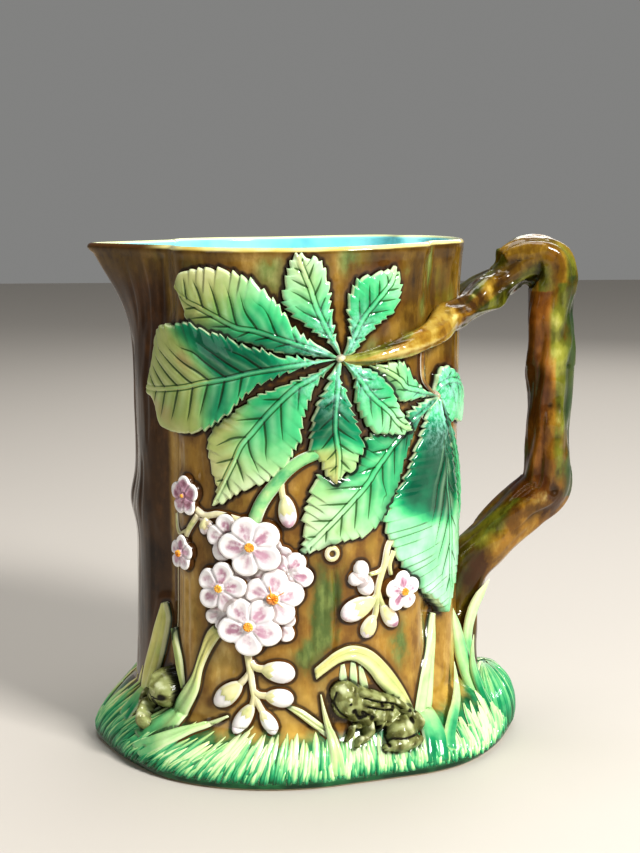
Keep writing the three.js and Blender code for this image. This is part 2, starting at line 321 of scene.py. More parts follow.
def leaflet(name, mid, up, lo, H=1.9, dome=0.9, vu=(7, 60, 3), vl=(7, 60, 3), tu=(5.0, 2.2, 0.05, 1.0), tl=(5.0, 2.2, 0.05, 1.0),
            su=2.0, sl=2.0, tone=None, warm=None, fill=0.8, step=0.55, across=0.62, hub0=0.55, droop=0.0, vend=0.80, worn=1.0):
    """One leaflet from its midrib and its two margins, all from the hub to the tip in the design plane.
    vu, vl: spacing, angle and first place of the side veins. tu, tl: pitch, depth, start and end of the teeth."""
    def line(pts):
        if len(pts) > 1 and np.hypot(*(np.array(pts[0]) - mid[0])) > np.hypot(*(np.array(pts[-1]) - mid[0])):
            pts = pts[::-1]
        return [mid[0]] + list(pts) + [mid[-1]]
    pu, pl = line(up), line(lo)
    for far in (False, True):
        k = 1.7 if far else 1.0
        dense = spline(pu, 400); dl = spline(pl, 400)
        n = int(max(length(dense), length(dl)) / (step * k)) + 1
        M = spline(mid, n); A = spline(pu, n); B = spline(pl, n)
        A = tooth_line(A, M, tu[0] * 0.88, tu[1] * 0.74, 0.45, tu[2], tu[3], 0.1, su)
        B = tooth_line(B, M, tl[0] * 0.88, tl[1] * 0.74, 0.45, tl[2], tl[3], 0.6, sl)
        if not far:
            top = np.vstack([A[n // 25:], B[n // 25:]])
        L = length(M); T = unit(np.gradient(M, axis=0)); Nn = np.stack([-T[:, 1], T[:, 0]], -1)
        WA = np.maximum(np.linalg.norm(A - M, axis=1), 0.25); WB = np.maximum(np.linalg.norm(B - M, axis=1), 0.25)
        nc = max(int(max(np.percentile(WA, 90), np.percentile(WB, 90)) / (across * k)), 5)
        base = np.linspace(0, 1, nc + 1)
        cols = [(-1, 1.0, "b"), (-1, 1.0, "f"), (-1, 1.0, "w")] + [(-1, b, "t") for b in base[:0:-1]] \
            + [(1, b, "t") for b in base] + [(1, 1.0, "w"), (1, 1.0, "f"), (1, 1.0, "b")]
        rows = np.arange(1, n - 1)
        s = rows / (n - 1)
        PU = np.zeros((len(rows), len(cols))); PV = PU.copy(); h = PU.copy(); top_mask = np.zeros(len(cols), bool)
        at = {a: PU.copy() for a in LEAF_ATTRS}
        e_hub = hub0 + (1 - hub0) * sstep(0.0, 0.16, s)
        for c, (sd, t, kind) in enumerate(cols):
            E, W, V_ = (A, WA, vu) if sd < 0 else (B, WB, vl)
            E, W, m = E[rows], W[rows], M[rows]
            dirn = (E - m) / W[:, None]
            off = 0.75 if kind in "fb" else (0.12 if kind == "w" else 0.0)
            P = m + dirn * (W * t + off)[:, None]
            PU[:, c], PV[:, c] = P[:, 0], np.clip(P[:, 1], -2, 198.6)
            e = (1 - t) * W
            d = P - m
            a = s * L + (d * T[rows]).sum(1); x = np.abs((d * Nn[rows]).sum(1)) if kind == "t" else W
            dv, ph, a0 = V_
            cot = 1 / math.tan(math.radians(ph))
            q = (a - x * cot - 0.007 * x * x - a0) / dv + 0.5
            p = dv * math.sin(math.radians(ph))
            dist = np.abs(q - np.floor(q) - 0.5) * p
            rel = x / np.maximum(W, 1.5)
            vf = (1 - sstep(vend * 0.25, vend, rel)) * sstep(0.4, 1.2, x) * sstep(-0.04, 0.04, q) * sstep(0.99, 0.93, s)
            if kind == "t":
                hh = H * (1 - 0.42 * np.exp(-e / 0.5)) * e_hub
                hh = hh + dome * (1 - (x / np.maximum(W, 1)) ** 2) * np.minimum(W, 11) / 11
                hh = hh - 0.42 * np.exp(-(dist / 0.42) ** 2) * np.minimum(vf * 1.6, 1)
                cush = np.sin(np.clip(dist / (p * 0.5), 0, 1) * math.pi / 2)
                hh = hh + 0.16 * cush * vf
                rib = 1 - 0.5 * s
                hh = hh + 0.28 * rib * np.exp(-(x / 0.55) ** 2) - 0.34 * rib * np.exp(-((x - 1.05) / 0.42) ** 2)
                hh = hh - droop * sstep(0.7, 1.0, s) + 0.12 * (vnoise(P[:, 0] * 0.35, P[:, 1] * 0.35) - 0.5)
                h[:, c] = hh
                top_mask[c] = True
            else:
                h[:, c] = {"w": 0.16, "f": 0.03, "b": -1.3}[kind]
            # Paler towards the hub: a painted highlight where the leaflets meet.
            tn = (tone(s, t * np.ones_like(s), sd) if tone else 0.5 + 0 * s) * (1 - 0.42 * np.exp(-(s / 0.17) ** 2))
            wm = warm(s, t * np.ones_like(s), sd) if warm else 0 * s
            for key, val in (("q", q), ("qp", p + 0 * s), ("vx", x), ("vf", vf), ("edge", e * worn if kind == "t" else -1.0), ("tone", tn), ("warm", wm),
                             ("above", ABOVE.at(PU[:, c], PV[:, c])), ("cs", s), ("hub", np.hypot(P[:, 0] - mid[0][0], P[:, 1] - mid[0][1]))):
                at[key][:, c] = val
        fl = np.where(top_mask, fill, 0.0)[None, :]
        X = np.where(fl[..., None] > 0, lifted(PU, PV, h, fill), lifted(PU, PV, h, 0.0))
        out = normal(PU, PV, 0.3)
        hubp = lifted(M[0, 0] + 0 * M[:1, 0], M[:1, 1], np.array([-1.3]))[0]
        tipq = M[-1] + T[-1] * 0.4
        tipp = lifted(tipq[:1], np.minimum(tipq[1:2], 198.8), np.array([-1.3]))[0]
        C = len(cols)
        mat_of = np.zeros(C - 1, int)
        mat_of[0] = mat_of[1] = mat_of[-1] = mat_of[-2] = 1
        V, faces = strip_body(X, out, hubp, tipp, 0, mat_of)
        flat = {key: np.r_[val.ravel(), val[0, C // 2], val[-1, C // 2]] for key, val in at.items()}
        if far:
            V = V.copy(); V[:, 1] *= -1
            leaves_far.add(V, [(np.asarray(F)[:, ::-1], m) for F, m in faces], **flat)
        else:
            leaves.add(V, faces, **flat)
    ABOVE.stamp(resample(top, int(length(top) / 0.4)))


LEAFLETS = {
    "A1": ([(10.0, 159.8), (-4.3, 164.9), (-14.0, 168.2), (-20.0, 170.2), (-26.8, 171.3), (-34.3, 174.9), (-41.5, 178.3), (-46.7, 180.6), (-52.9, 185.5)],
           [(8.0, 161.5), (-4.6, 170.0), (-12.9, 181.0), (-16.0, 183.6), (-20.8, 188.1), (-26.1, 190.5), (-30.8, 192.0), (-35.5, 192.6), (-41.0, 192.3), (-46.1, 191.5), (-49.7, 190.5), (-51.6, 188.7)],
           [(-48.9, 177.0), (-47.5, 173.1), (-44.4, 171.1), (-36.7, 169.0), (-26.5, 166.1), (-20.8, 165.0), (-13.0, 162.4), (-0.8, 160.9)]),
    "A2": ([(9.9, 159.8), (-12.9, 156.6), (-21.7, 155.0), (-28.6, 153.0), (-35.8, 151.3), (-39.9, 150.5), (-46.8, 148.6), (-63.3, 146.3), (-71.2, 146.3)],
           [(-0.8, 159.9), (-5.3, 161.0), (-12.9, 161.2), (-17.5, 163.6), (-23.6, 164.4), (-29.0, 166.9), (-33.7, 168.9), (-37.2, 169.4), (-41.3, 170.7), (-46.2, 172.5), (-54.2, 170.8), (-61.9, 170.1), (-65.1, 167.4), (-66.5, 163.5), (-67.8, 157.1), (-69.3, 152.2)],
           [(-71.0, 143.8), (-67.2, 141.9), (-64.9, 138.4), (-62.4, 132.5), (-56.0, 130.9), (-48.6, 130.8), (-43.4, 131.7), (-38.5, 133.5), (-36.1, 135.1), (-30.2, 139.7), (-25.2, 145.3), (-21.3, 148.6), (-17.9, 151.0), (-13.9, 152.8), (-9.6, 154.9), (-5.0, 156.1), (1.3, 158.3)]),
    "A3": ([(10.1, 159.8), (-0.1, 153.0), (-5.0, 150.3), (-9.2, 146.7), (-13.5, 142.3), (-16.8, 138.6), (-21.0, 133.3), (-25.2, 128.2), (-28.5, 121.0), (-32.9, 112.5), (-37.4, 104.2)],
           [(4.8, 156.8), (-1.3, 154.1), (-5.0, 152.8), (-9.3, 151.0), (-14.0, 148.8), (-20.2, 146.6), (-24.7, 143.1), (-30.5, 138.9), (-36.5, 134.3), (-39.0, 128.1), (-38.6, 123.4), (-37.6, 118.8), (-36.1, 113.9), (-35.4, 111.8)],
           [(2.7, 151.9), (0.1, 147.4), (-2.0, 141.5), (-3.3, 136.6), (-3.7, 130.2), (-5.8, 127.4), (-8.4, 122.1), (-13.2, 117.5), (-17.4, 114.2), (-20.5, 113.0), (-24.0, 111.5), (-28.3, 109.4), (-32.0, 106.7)]),
    "A4": ([(10.0, 159.8), (9.2, 151.1), (8.2, 140.6), (8.1, 133.6), (8.9, 128.0), (9.4, 123.5), (8.9, 113.4)],
           [(6.1, 152.9), (4.4, 148.8), (1.4, 142.9), (0.0, 137.3), (-0.8, 130.2), (-0.3, 126.0), (1.8, 124.1), (4.2, 119.4), (5.5, 116.2)],
           [(10.9, 158.1), (10.3, 152.1), (12.4, 148.2), (14.2, 142.5), (16.8, 135.6), (18.6, 130.9), (19.5, 125.8), (17.3, 123.1), (16.2, 119.2), (12.2, 117.4)]),
    "A5": ([(10.5, 159.9), (13.7, 156.1), (16.6, 152.8), (20.7, 147.0), (23.9, 143.8), (28.6, 139.8), (33.2, 134.7), (40.2, 131.7)],
           [(16.0, 157.4), (22.7, 155.1), (26.9, 151.9), (29.9, 149.0), (32.2, 144.6), (34.7, 139.3), (38.0, 135.0)],
           [(13.7, 155.2), (15.4, 152.2), (15.7, 145.6), (17.1, 140.6), (19.5, 136.5), (23.0, 132.2), (28.7, 131.2), (34.1, 130.3), (38.1, 130.9)]),
    "A6": ([(10.6, 160.2), (6.5, 168.1), (2.9, 175.5), (1.1, 179.9), (-0.5, 185.5), (-1.8, 188.8), (-5.7, 198.6)],
           [(9.1, 162.1), (5.8, 166.2), (1.4, 169.2), (-2.9, 172.6), (-7.1, 175.9), (-10.3, 180.0), (-10.3, 184.4), (-9.2, 189.9), (-7.8, 194.6)],
           [(10.2, 163.2), (8.7, 167.3), (7.8, 172.5), (6.9, 178.4), (6.5, 185.0), (4.9, 191.7), (2.0, 196.4), (-1.8, 196.5), (-3.9, 197.9)]),
    "A7": ([(10.7, 160.3), (12.4, 162.4), (15.5, 168.6), (18.6, 174.4), (22.1, 178.8), (26.1, 183.4), (29.3, 187.1), (31.9, 193.3)],
           [(11.7, 162.0), (13.6, 167.9), (13.6, 172.3), (12.9, 179.0), (13.9, 183.4), (16.8, 188.5), (21.7, 190.3), (25.7, 191.3), (29.0, 191.9)],
           [(14.8, 161.5), (19.3, 166.6), (22.9, 170.2), (27.1, 173.3), (31.4, 176.2), (33.6, 179.8), (34.6, 185.8), (33.4, 189.9)]),
    "B2": ([(57.5, 142.5), (42.2, 146.6), (36.4, 148.4), (34.4, 150.6), (29.3, 153.9), (20.8, 157.0)],
           [(50.9, 143.9), (44.6, 147.7), (41.1, 151.0), (38.4, 154.6), (35.1, 157.8), (30.4, 157.8), (24.9, 157.1)],
           [(45.9, 143.3), (40.8, 142.9), (34.9, 142.8), (31.1, 145.7), (27.7, 150.3)]),
    "B3": ([(57.0, 142.3), (39.6, 134.7), (34.4, 129.8), (29.8, 125.5), (26.4, 121.4), (23.1, 117.3), (21.4, 114.5), (13.9, 106.4), (-5.5, 86.4)],
           [(47.4, 141.8), (38.5, 138.6), (31.7, 134.7), (25.5, 131.4), (20.2, 130.6), (18.4, 126.0), (16.9, 121.6), (13.8, 118.0), (9.4, 116.4), (2.1, 116.7), (-0.4, 110.4), (-3.3, 100.7), (-3.0, 92.4)],
           [(49.4, 139.0), (43.2, 133.2), (39.3, 126.0), (36.1, 116.9), (33.0, 107.7), (30.0, 101.6), (25.0, 96.4), (19.0, 92.8), (12.4, 91.8), (3.2, 89.2)]),
    "B4": ([(58.2, 141.8), (59.3, 125.0), (60.9, 115.7), (61.5, 106.6), (63.3, 98.6), (64.7, 87.9), (64.8, 76.6), (65.8, 64.3), (66.2, 55.3)],
           [(50.9, 138.5), (46.1, 131.3), (42.6, 124.9), (40.3, 120.2), (38.1, 115.0), (33.5, 108.9), (30.5, 104.5), (28.1, 98.6), (28.6, 96.0), (29.6, 92.7), (32.1, 89.4), (33.2, 84.8), (35.8, 82.0), (37.0, 78.0), (41.8, 73.7), (46.4, 69.2), (60.7, 60.4), (64.3, 56.5)],
           [(61.5, 135.0), (65.5, 125.0), (69.8, 114.5), (73.6, 103.0), (76.5, 92.0), (77.2, 81.0), (74.5, 70.5), (69.5, 60.5)]),
    "B5": ([(59.6, 141.9), (67.3, 128.2), (73.4, 116.0), (78.4, 103.7), (79.4, 88.0)],
           [(61.9, 132.5), (66.3, 124.4), (69.7, 115.1), (71.9, 108.2), (73.6, 98.5)],
           [(65.8, 134.2), (73.7, 122.4), (80.1, 112.8), (84.7, 104.2), (85.5, 96.8), (83.6, 90.9)]),
    "B1": ([(58.6, 142.6), (62.4, 146.2), (68.0, 147.6), (74.6, 146.0), (80.6, 141.4), (84.6, 133.6)],
           [(60.4, 146.0), (61.8, 149.8), (63.6, 152.4), (66.8, 153.0), (70.4, 151.6), (75.0, 149.4), (80.6, 145.0), (85.4, 138.6)],
           [(61.4, 141.6), (63.4, 137.6), (66.2, 132.4), (69.0, 131.0), (73.0, 131.6), (77.0, 130.4), (81.7, 129.8)]),
}


# tone: 0 palest mint, 0.5 mid green, 1 deepest emerald. warm: 0 none, 1 yellow olive.
def t_A1(s, t, sd):
    b = 0.62 - 0.10 * s
    if sd < 0:
        return b * (1 - 0.55 * sstep(0.1, 0.95, t)) * (1 - 0.25 * sstep(0.5, 1, s)) + 0.12 * sstep(0.25, 0.0, s)
    return b + 0.10 * sstep(0.6, 0.2, s) - 0.2 * sstep(0.6, 1, s)


def w_A1(s, t, sd):
    return 0.95 * sstep(0.38 if sd < 0 else 0.42, 0.85, s + (0.06 * t if sd < 0 else 0.0))


def t_A2(s, t, sd):
    if sd < 0:
        m = sstep(0.16, 0.34, s) * sstep(0.70, 0.56, s + 0.10 * (1 - t))
        return 0.42 + 0.50 * m * (1 - 0.25 * sstep(0.8, 1, t)) - 0.05 * sstep(0.6, 0.9, s)
    m = sstep(0.1, 0.3, s) * sstep(0.72, 0.5, s)
    return 0.42 + 0.22 * m - 0.08 * sstep(0.6, 1, t)


def w_A2(s, t, sd):
    return 1.0 * sstep(0.50, 0.70, s + (0.10 * (1 - t) - 0.05 if sd < 0 else 0.02))


def t_A3(s, t, sd):
    return 0.50 - 0.30 * sstep(0.45, 0.95, s) - (0.16 * sstep(0.2, 0.9, t) if sd > 0 else 0.0) - 0.1 * sstep(0.25, 0.05, s)


def w_A3(s, t, sd):
    return (0.85 if sd < 0 else 0.55) * sstep(0.36, 0.80, s + 0.15 * t)


def t_A4(s, t, sd):
    return 0.40 + (0.55 if sd < 0 else 0.40) * sstep(0.22, 0.38, s) * sstep(0.72, 0.58, s) * sstep(0.0, 0.4, t + 0.25) - 0.12 * sstep(0.7, 1, s)


def w_A4(s, t, sd):
    return 0.85 * sstep(0.58, 0.78, s) * (1.0 if sd < 0 else 0.6)


def t_A5(s, t, sd):
    return 0.52 - 0.22 * sstep(0.2, 0.7, s) + (0.05 if sd < 0 else 0.02)


def w_A5(s, t, sd):
    return 0.45 * sstep(0.35, 0.9, s) * (1 - 0.5 * t)


def t_A6(s, t, sd):
    return 0.42 - 0.22 * sstep(0.25, 0.75, s)


def w_A6(s, t, sd):
    return 0.55 * sstep(0.30, 0.70, s) * (1 - 0.4 * t)


def t_A7(s, t, sd):
    return 0.46 - 0.20 * sstep(0.6, 1.0, s) + 0.08 * sstep(0.5, 0.1, s)


def w_A7(s, t, sd):
    return 0.35 * sstep(0.6, 1.0, s)


def t_B3(s, t, sd):
    return 0.62 - 0.42 * sstep(0.25, 0.80, s) + (0.06 if sd > 0 else -0.05) * sstep(0.6, 0.3, s)


def w_B3(s, t, sd):
    return 0.45 * sstep(0.40, 0.75, s) * (1 - 0.35 * sstep(0.85, 1.0, s))


def t_B4(s, t, sd):
    m = sstep(0.04, 0.16, s) * sstep(0.62, 0.50, s + 0.16 * t)
    return 0.22 + 0.75 * m * (1 - 0.25 * sstep(0.80, 1.0, t)) + 0.10 * sstep(0.9, 1.0, s)


def t_B2(s, t, sd):
    return 0.30 + 0.1 * sstep(0.4, 0.0, s)


def t_B5(s, t, sd):
    return 0.62 - 0.2 * s


def t_B1(s, t, sd):
    return 0.42 - 0.14 * s


TOP_ORDER = [
    ("A4", dict(H=2.8, dome=0.8, vu=(6.2, 48, 14), vl=(6.2, 48, 12), tu=(4.6, 2.4, 0.05, 1.0), tl=(4.6, 2.4, 0.05, 1.0), tone=t_A4, warm=w_A4)),
    ("A5", dict(H=2.9, dome=0.9, vu=(5.4, 46, 9), vl=(5.8, 44, 11), tu=(4.6, 1.5, 0.08, 1.0), tl=(4.4, 2.2, 0.1, 1.0), tone=t_A5, warm=w_A5)),
    ("A2", dict(H=2.4, dome=1.0, vu=(6.7, 47, 27), vl=(6.5, 66, 35), tu=(4.7, 2.6, 0.05, 1.0), tl=(4.7, 2.3, 0.04, 1.0), su=0.80, sl=0.62, tone=t_A2, warm=w_A2)),
    ("A3", dict(H=2.0, dome=0.9, vu=(9.3, 47, 16), vl=(9.0, 45, 17), tu=(4.8, 1.8, 0.05, 1.0), tl=(4.6, 2.4, 0.05, 1.0), tone=t_A3, warm=w_A3)),
    ("A1", dict(H=1.7, dome=1.0, vu=(7.3, 50, 16), vl=(7.4, 33, 18), tu=(4.9, 2.8, 0.10, 1.0), tl=(5.0, 1.2, 0.05, 0.9), su=0.83, tone=t_A1, warm=w_A1)),
    ("A6", dict(H=1.9, dome=0.8, vu=(6.3, 42, 9), vl=(6.3, 42, 12), tu=(4.4, 2.7, 0.10, 1.0), tl=(4.4, 2.5, 0.10, 1.0), tone=t_A6, warm=w_A6)),
    ("A7", dict(H=1.9, dome=0.8, vu=(5.6, 44, 9), vl=(5.6, 44, 7), tu=(4.4, 2.5, 0.10, 1.0), tl=(4.2, 2.3, 0.08, 1.0), tone=t_A7, warm=w_A7)),
    ("B4", dict(H=2.2, dome=1.2, vu=(12.5, 30, 20), vl=(14.0, 34, 18), tu=(4.8, 3.0, 0.03, 1.0), tl=(5.0, 2.2, 0.05, 1.0), tone=t_B4, vend=0.50, worn=2.6)),
    ("B1", dict(H=1.5, fill=0.35, dome=0.9, vu=(6.0, 45, 8), vl=(6.0, 45, 8), tu=(4.6, 2.0, 0.10, 1.0), tl=(4.6, 1.6, 0.1, 1.0), tone=t_B1, worn=2.2)),
    ("B3", dict(H=1.8, dome=1.0, vu=(8.4, 47, 24), vl=(8.0, 42, 22), tu=(4.8, 3.2, 0.05, 1.0), tl=(4.8, 1.7, 0.05, 1.0), tone=t_B3, warm=w_B3)),
    ("B5", dict(H=1.5, dome=0.9, vu=(8.5, 40, 9), vl=(8.5, 40, 9), tone=t_B5)),
    ("B2", dict(H=1.7, dome=0.8, vu=(6.0, 42, 8), vl=(6.0, 42, 8), tu=(4.4, 2.4, 0.05, 1.0), tl=(4.4, 1.2, 0.05, 1.0), tone=t_B2, warm=w_A6)),
]


# ------------------------------------------------------------------ flowers
FLOWER_ATTRS = ["lilac", "gold", "crease", "edge", "green", "above"]
flowers = Bag("blossom_sprays", FLOWER_ATTRS)


def petal_edge(phi, R):
    """Radius of a five-petalled outline at the angle phi off the nearest petal's middle."""
    d = 0.575 * R; rr = 0.435 * R
    return d * np.cos(phi) + np.sqrt(np.maximum(rr**2 - (d * np.sin(phi)) ** 2, 0.0008 * R * R))


def flower(u, v, R, turn, H=2.6, tilt=(0.0, 0.0), gold=0.17, star=False, lil=1.0, squash=1.0, dark=0.0, far=True):
    """A blossom at (u, v): turn is the direction of one petal in degrees; tilt leans it along U and V."""
    nr, na = max(int(R / 0.42), 10), 80
    ang = np.linspace(0, 2 * math.pi, na, endpoint=False)
    t0 = math.radians(turn); hid = gold <= 0
    k = np.round((ang - t0) / (2 * math.pi / 5))
    off = ang - t0 - k * 2 * math.pi / 5
    rim = petal_edge(off, R)
    ks = (k.astype(int) % 5)
    size = np.array([1.0, 0.94, 1.04, 0.97, 1.02])[ks]
    rim = rim * (1 + (size - 1) * np.cos(off * 2.5) ** 2)
    rr = np.linspace(0, 1, nr + 1)[1:]
    f = np.r_[rr, 1.0, 1.0, 1.0]                                   # wall, dark flange, buried edge
    add = np.r_[np.zeros(nr), 0.10, 0.75, 0.75]
    r = f[:, None] * rim[None, :] + add[:, None]
    U = u + r * np.cos(ang) * squash; V = v + r * np.sin(ang)
    x = r / R
    # each petal is a shallow spoon with a rolled edge, with a crease between neighbours
    pc = 0.60
    dx = x * np.cos(off)[None, :] - pc; dy = x * np.sin(off)[None, :]
    spoon = (dx / 0.44) ** 2 + (dy / 0.42) ** 2
    edge_mm = (rim[None, :] - r)
    h = H * (1 - 0.38 * np.exp(-np.maximum(edge_mm, 0) / 0.45)) + 0.9 * (spoon * np.exp(-(spoon / 1.25) ** 4)) - 0.35
    gap = np.abs(np.abs(off) - math.pi / 5)[None, :] * r
    crease = np.exp(-(gap / 0.45) ** 2) * sstep(0.16, 0.3, x)
    h = h - 0.70 * crease
    if hid:
        g = 0 * x; h = h - 1.6 * sstep(0.45, 0.1, x)
    else:
        g = sstep(gold + 0.03, gold - 0.03, x)
        h = h + g * (0.7 + 0.8 * np.sqrt(np.maximum(1 - (x / (gold + 0.03)) ** 2, 0)))
        h = h - 0.45 * np.exp(-((x - gold - 0.05) / 0.04) ** 2)
        h = h + 0.16 * g * np.sin(9 * (ang[None, :] + 2.0 * x)) * sstep(0.03, 0.1, x)
    if star:
        ray = sstep(0.50, 0.40, x) * np.exp(-(np.sin(2.5 * (ang - 0.55))[None, :] * x / 0.055) ** 2) * sstep(-0.2, 0.5, np.cos(ang - 1.0)[None, :] + 0.4)
        g = np.maximum(g, ray); h = h + 0.35 * ray
    h = h + tilt[0] * (U - u) + tilt[1] * (V - v)
    h[nr], h[nr + 1], h[nr + 2] = 0.15, 0.03, -1.3
    lx = (x * np.cos(off)[None, :] - 0.46) / 0.36; ly = (x * np.sin(off)[None, :]) / 0.235
    amt = np.array([1.0, 0.74, 1.05, 0.55, 0.90])[ks][None, :]
    lilac = np.clip(1.15 - (lx**2 + ly**2), 0, 1) * lil * amt * (0.80 + 0.20 * np.sin(16 * off)[None, :])
    lilac = np.clip(lilac + dark * sstep(0.85, 0.55, x), 0, 1.3)
    P = lifted(U, V, h, 0.6)
    P[nr:] = lifted(U[nr:], V[nr:], h[nr:], 0.0)
    c = lifted(np.array([u]), np.array([v]), np.array([H - 1.9 if hid else H + 1.1]), 0.6)
    cb = lifted(np.array([u]), np.array([v]), np.array([-1.8]))
    Vx = np.vstack([P.reshape(-1, 3), c, cb]); m = len(f); idx = np.arange(m * na).reshape(m, na)
    ci, bi = m * na, m * na + 1
    nx = np.roll(idx, -1, axis=1)
    q = np.stack([idx[:-1], idx[1:], nx[1:], nx[:-1]], -1)
    O = np.vstack([normal(U, V, 0.6).reshape(-1, 3), normal(np.array([u]), np.array([v])), -normal(np.array([u]), np.array([v]))])
    flip = facing(Vx, q[0].reshape(-1, 4), O)[0, 0] != q[0].reshape(-1, 4)[0, 0]
    t = lambda F: F[:, ::-1] if flip else F
    faces = [(t(q[:nr - 1].reshape(-1, 4)), 0), (t(q[nr - 1:].reshape(-1, 4)), 1),
             (t(np.stack([np.full(na, ci), idx[0], nx[0]], -1)), 0),
             (t(np.stack([np.full(na, bi), nx[-1], idx[-1]], -1)), 1)]
    ab = np.r_[ABOVE.at(U, V).ravel(), 9, 9]
    z2 = lambda a: np.r_[np.broadcast_to(a, U.shape).ravel(), 0, 0]
    edge_mm = np.maximum(edge_mm, 0); edge_mm[nr:] = -1.0
    at = dict(lilac=z2(lilac), gold=np.r_[np.broadcast_to(g, U.shape).ravel(), 0 if hid else 1, 0], crease=z2(crease), edge=z2(edge_mm), above=ab)
    put(flowers, Vx, faces, far, **at)
    ABOVE.stamp(resample(np.stack([U[nr - 1], V[nr - 1]], -1), int(6.3 * R / 0.4)))


def bud(base, tip, width, H=3.0, calyx=0.42, pink=0.35, green=0.0, far=True, lobes=False):
    """A teardrop bud from its stalk to its tip, in a toothed calyx."""
    b = np.array(base, float); t = np.array(tip, float); L = np.hypot(*(t - b))
    n = max(int(L / 0.5), 14); nc = 13
    s = np.linspace(0, 1, n)
    prof = np.sqrt(np.maximum(1 - ((s - 0.60) / np.where(s < 0.60, 0.62, 0.41)) ** 2, 0)) ** np.where(s < 0.6, 1.35, 1.0)
    prof = np.maximum(prof, 0.14 * (1 - s) + 0.05)
    ax = (t - b) / L; nn = np.array([-ax[1], ax[0]])
    cols = [(-1, 0.75, -1.3), (-1, 0.75, 0.03), (-1, 0.1, 0.15)] + [(x, 0, None) for x in np.linspace(-1, 1, nc)] + [(1, 0.1, 0.15), (1, 0.75, 0.03), (1, 0.75, -1.3)]
    w = width / 2 * prof
    U = np.zeros((n, len(cols))); V = U.copy(); h = U.copy(); cal = U.copy(); ed = U.copy()
    for c, (x, add, hh) in enumerate(cols):
        lat = x * w + np.sign(x) * add
        P = b + ax * (s * L)[:, None] + nn * lat[:, None]
        U[:, c], V[:, c] = P[:, 0], P[:, 1]
        zig = 0.10 * (2 * np.abs(((x + 1) * 1.5) % 1 - 0.5))
        cal[:, c] = sstep(calyx + 0.03 + zig, calyx - 0.03 + zig, s) if calyx > 0 else 0
        ed[:, c] = (1 - abs(x)) * w if hh is None else -1.0
        if hh is None:
            dome = np.sqrt(np.maximum(1 - (x * 0.98) ** 2, 0))
            h[:, c] = 0.25 + H * dome * np.sqrt(np.clip(prof, 0, 1)) * (0.75 + 0.25 * sstep(0, 0.5, s)) + 0.35 * cal[:, c] * dome
        else:
            h[:, c] = hh
    X = lifted(U, V, h, 0.3)
    X[:, :3] = lifted(U[:, :3], V[:, :3], h[:, :3]); X[:, -3:] = lifted(U[:, -3:], V[:, -3:], h[:, -3:])
    hub = lifted(np.array([b[0]]), np.array([b[1]]), np.array([-1.3]))[0]
    e = t + ax * 0.3
    end = lifted(np.array([e[0]]), np.array([e[1]]), np.array([-1.3]))[0]
    C = len(cols); mat_of = np.zeros(C - 1, int); mat_of[[0, 1, -1, -2]] = 1
    Vx, faces = strip_body(X, normal(U, V, 0.3), hub, end, 1, mat_of)
    z2 = lambda a: np.r_[a.ravel(), 0, 0]
    pk = sstep(0.55, 0.95, s)[:, None] * np.ones((1, C)) * pink
    put(flowers, Vx, faces, far, lilac=z2(pk), green=z2(np.clip(cal + green, 0, 1)), edge=z2(ed), above=np.r_[ABOVE.at(U, V).ravel(), 9, 9])
    top = np.vstack([np.stack([U[:, 3], V[:, 3]], -1), np.stack([U[:, -4], V[:, -4]], -1)[::-1]])
    ABOVE.stamp(resample(top, int(length(top) / 0.4)))


def stem(pts, r0, r1, H=1.0, far=True, green=1.0, fill=0.5, shade=True):
    """A half-sunk stalk along pts."""
    dense = spline(pts, 200); n = max(int(length(dense) / 0.6), 6)
    M = spline(pts, n); T = unit(np.gradient(M, axis=0)); N = np.stack([-T[:, 1], T[:, 0]], -1)
    s = np.linspace(0, 1, n); r = r0 + (r1 - r0) * s
    ang = np.linspace(-1, 1, 9)
    cols = [(-1, 0.62, -1.2), (-1, 0.62, 0.02)] + [(a, 0.0, None) for a in ang] + [(1, 0.62, 0.02), (1, 0.62, -1.2)]
    U = np.zeros((n, len(cols))); V = U.copy(); h = U.copy()
    for c, (a, add, hh) in enumerate(cols):
        lat = np.sin(a * math.pi / 2) * r + np.sign(a) * add
        P = M + N * lat[:, None]
        U[:, c], V[:, c] = P[:, 0], P[:, 1]
        h[:, c] = (0.12 + np.cos(a * math.pi / 2) * r * H * 1.15) if hh is None else hh
    X = lifted(U, V, h, fill)
    X[:, :2] = lifted(U[:, :2], V[:, :2], h[:, :2]); X[:, -2:] = lifted(U[:, -2:], V[:, -2:], h[:, -2:])
    ends = [lifted(p[:1], p[1:2], np.array([-1.2]))[0] for p in (M[0] - T[0] * 0.3, M[-1] + T[-1] * 0.3)]
    C = len(cols); mat_of = np.zeros(C - 1, int); mat_of[[0, 1, -1, -2]] = 1
    Vx, faces = strip_body(X, normal(U, V, 0.3), ends[0], ends[1], 1, mat_of)
    cr = np.broadcast_to(np.abs(np.array([c[0] for c in cols])), U.shape)
    put(flowers, Vx, faces, far, green=np.full(len(Vx), green), edge=np.r_[((1 - cr) * 2).ravel(), 0, 0], above=np.r_[np.maximum(ABOVE.at(U, V), 1.25).ravel(), 9, 9])
    side = np.vstack([np.stack([U[:, 2], V[:, 2]], -1), np.stack([U[:, -3], V[:, -3]], -1)[::-1]])
    if shade:
        ABOVE.stamp(resample(side, int(length(side) / 0.4)))
    else:
        LATER.append(resample(side, int(length(side) / 0.4)))


LATER = []


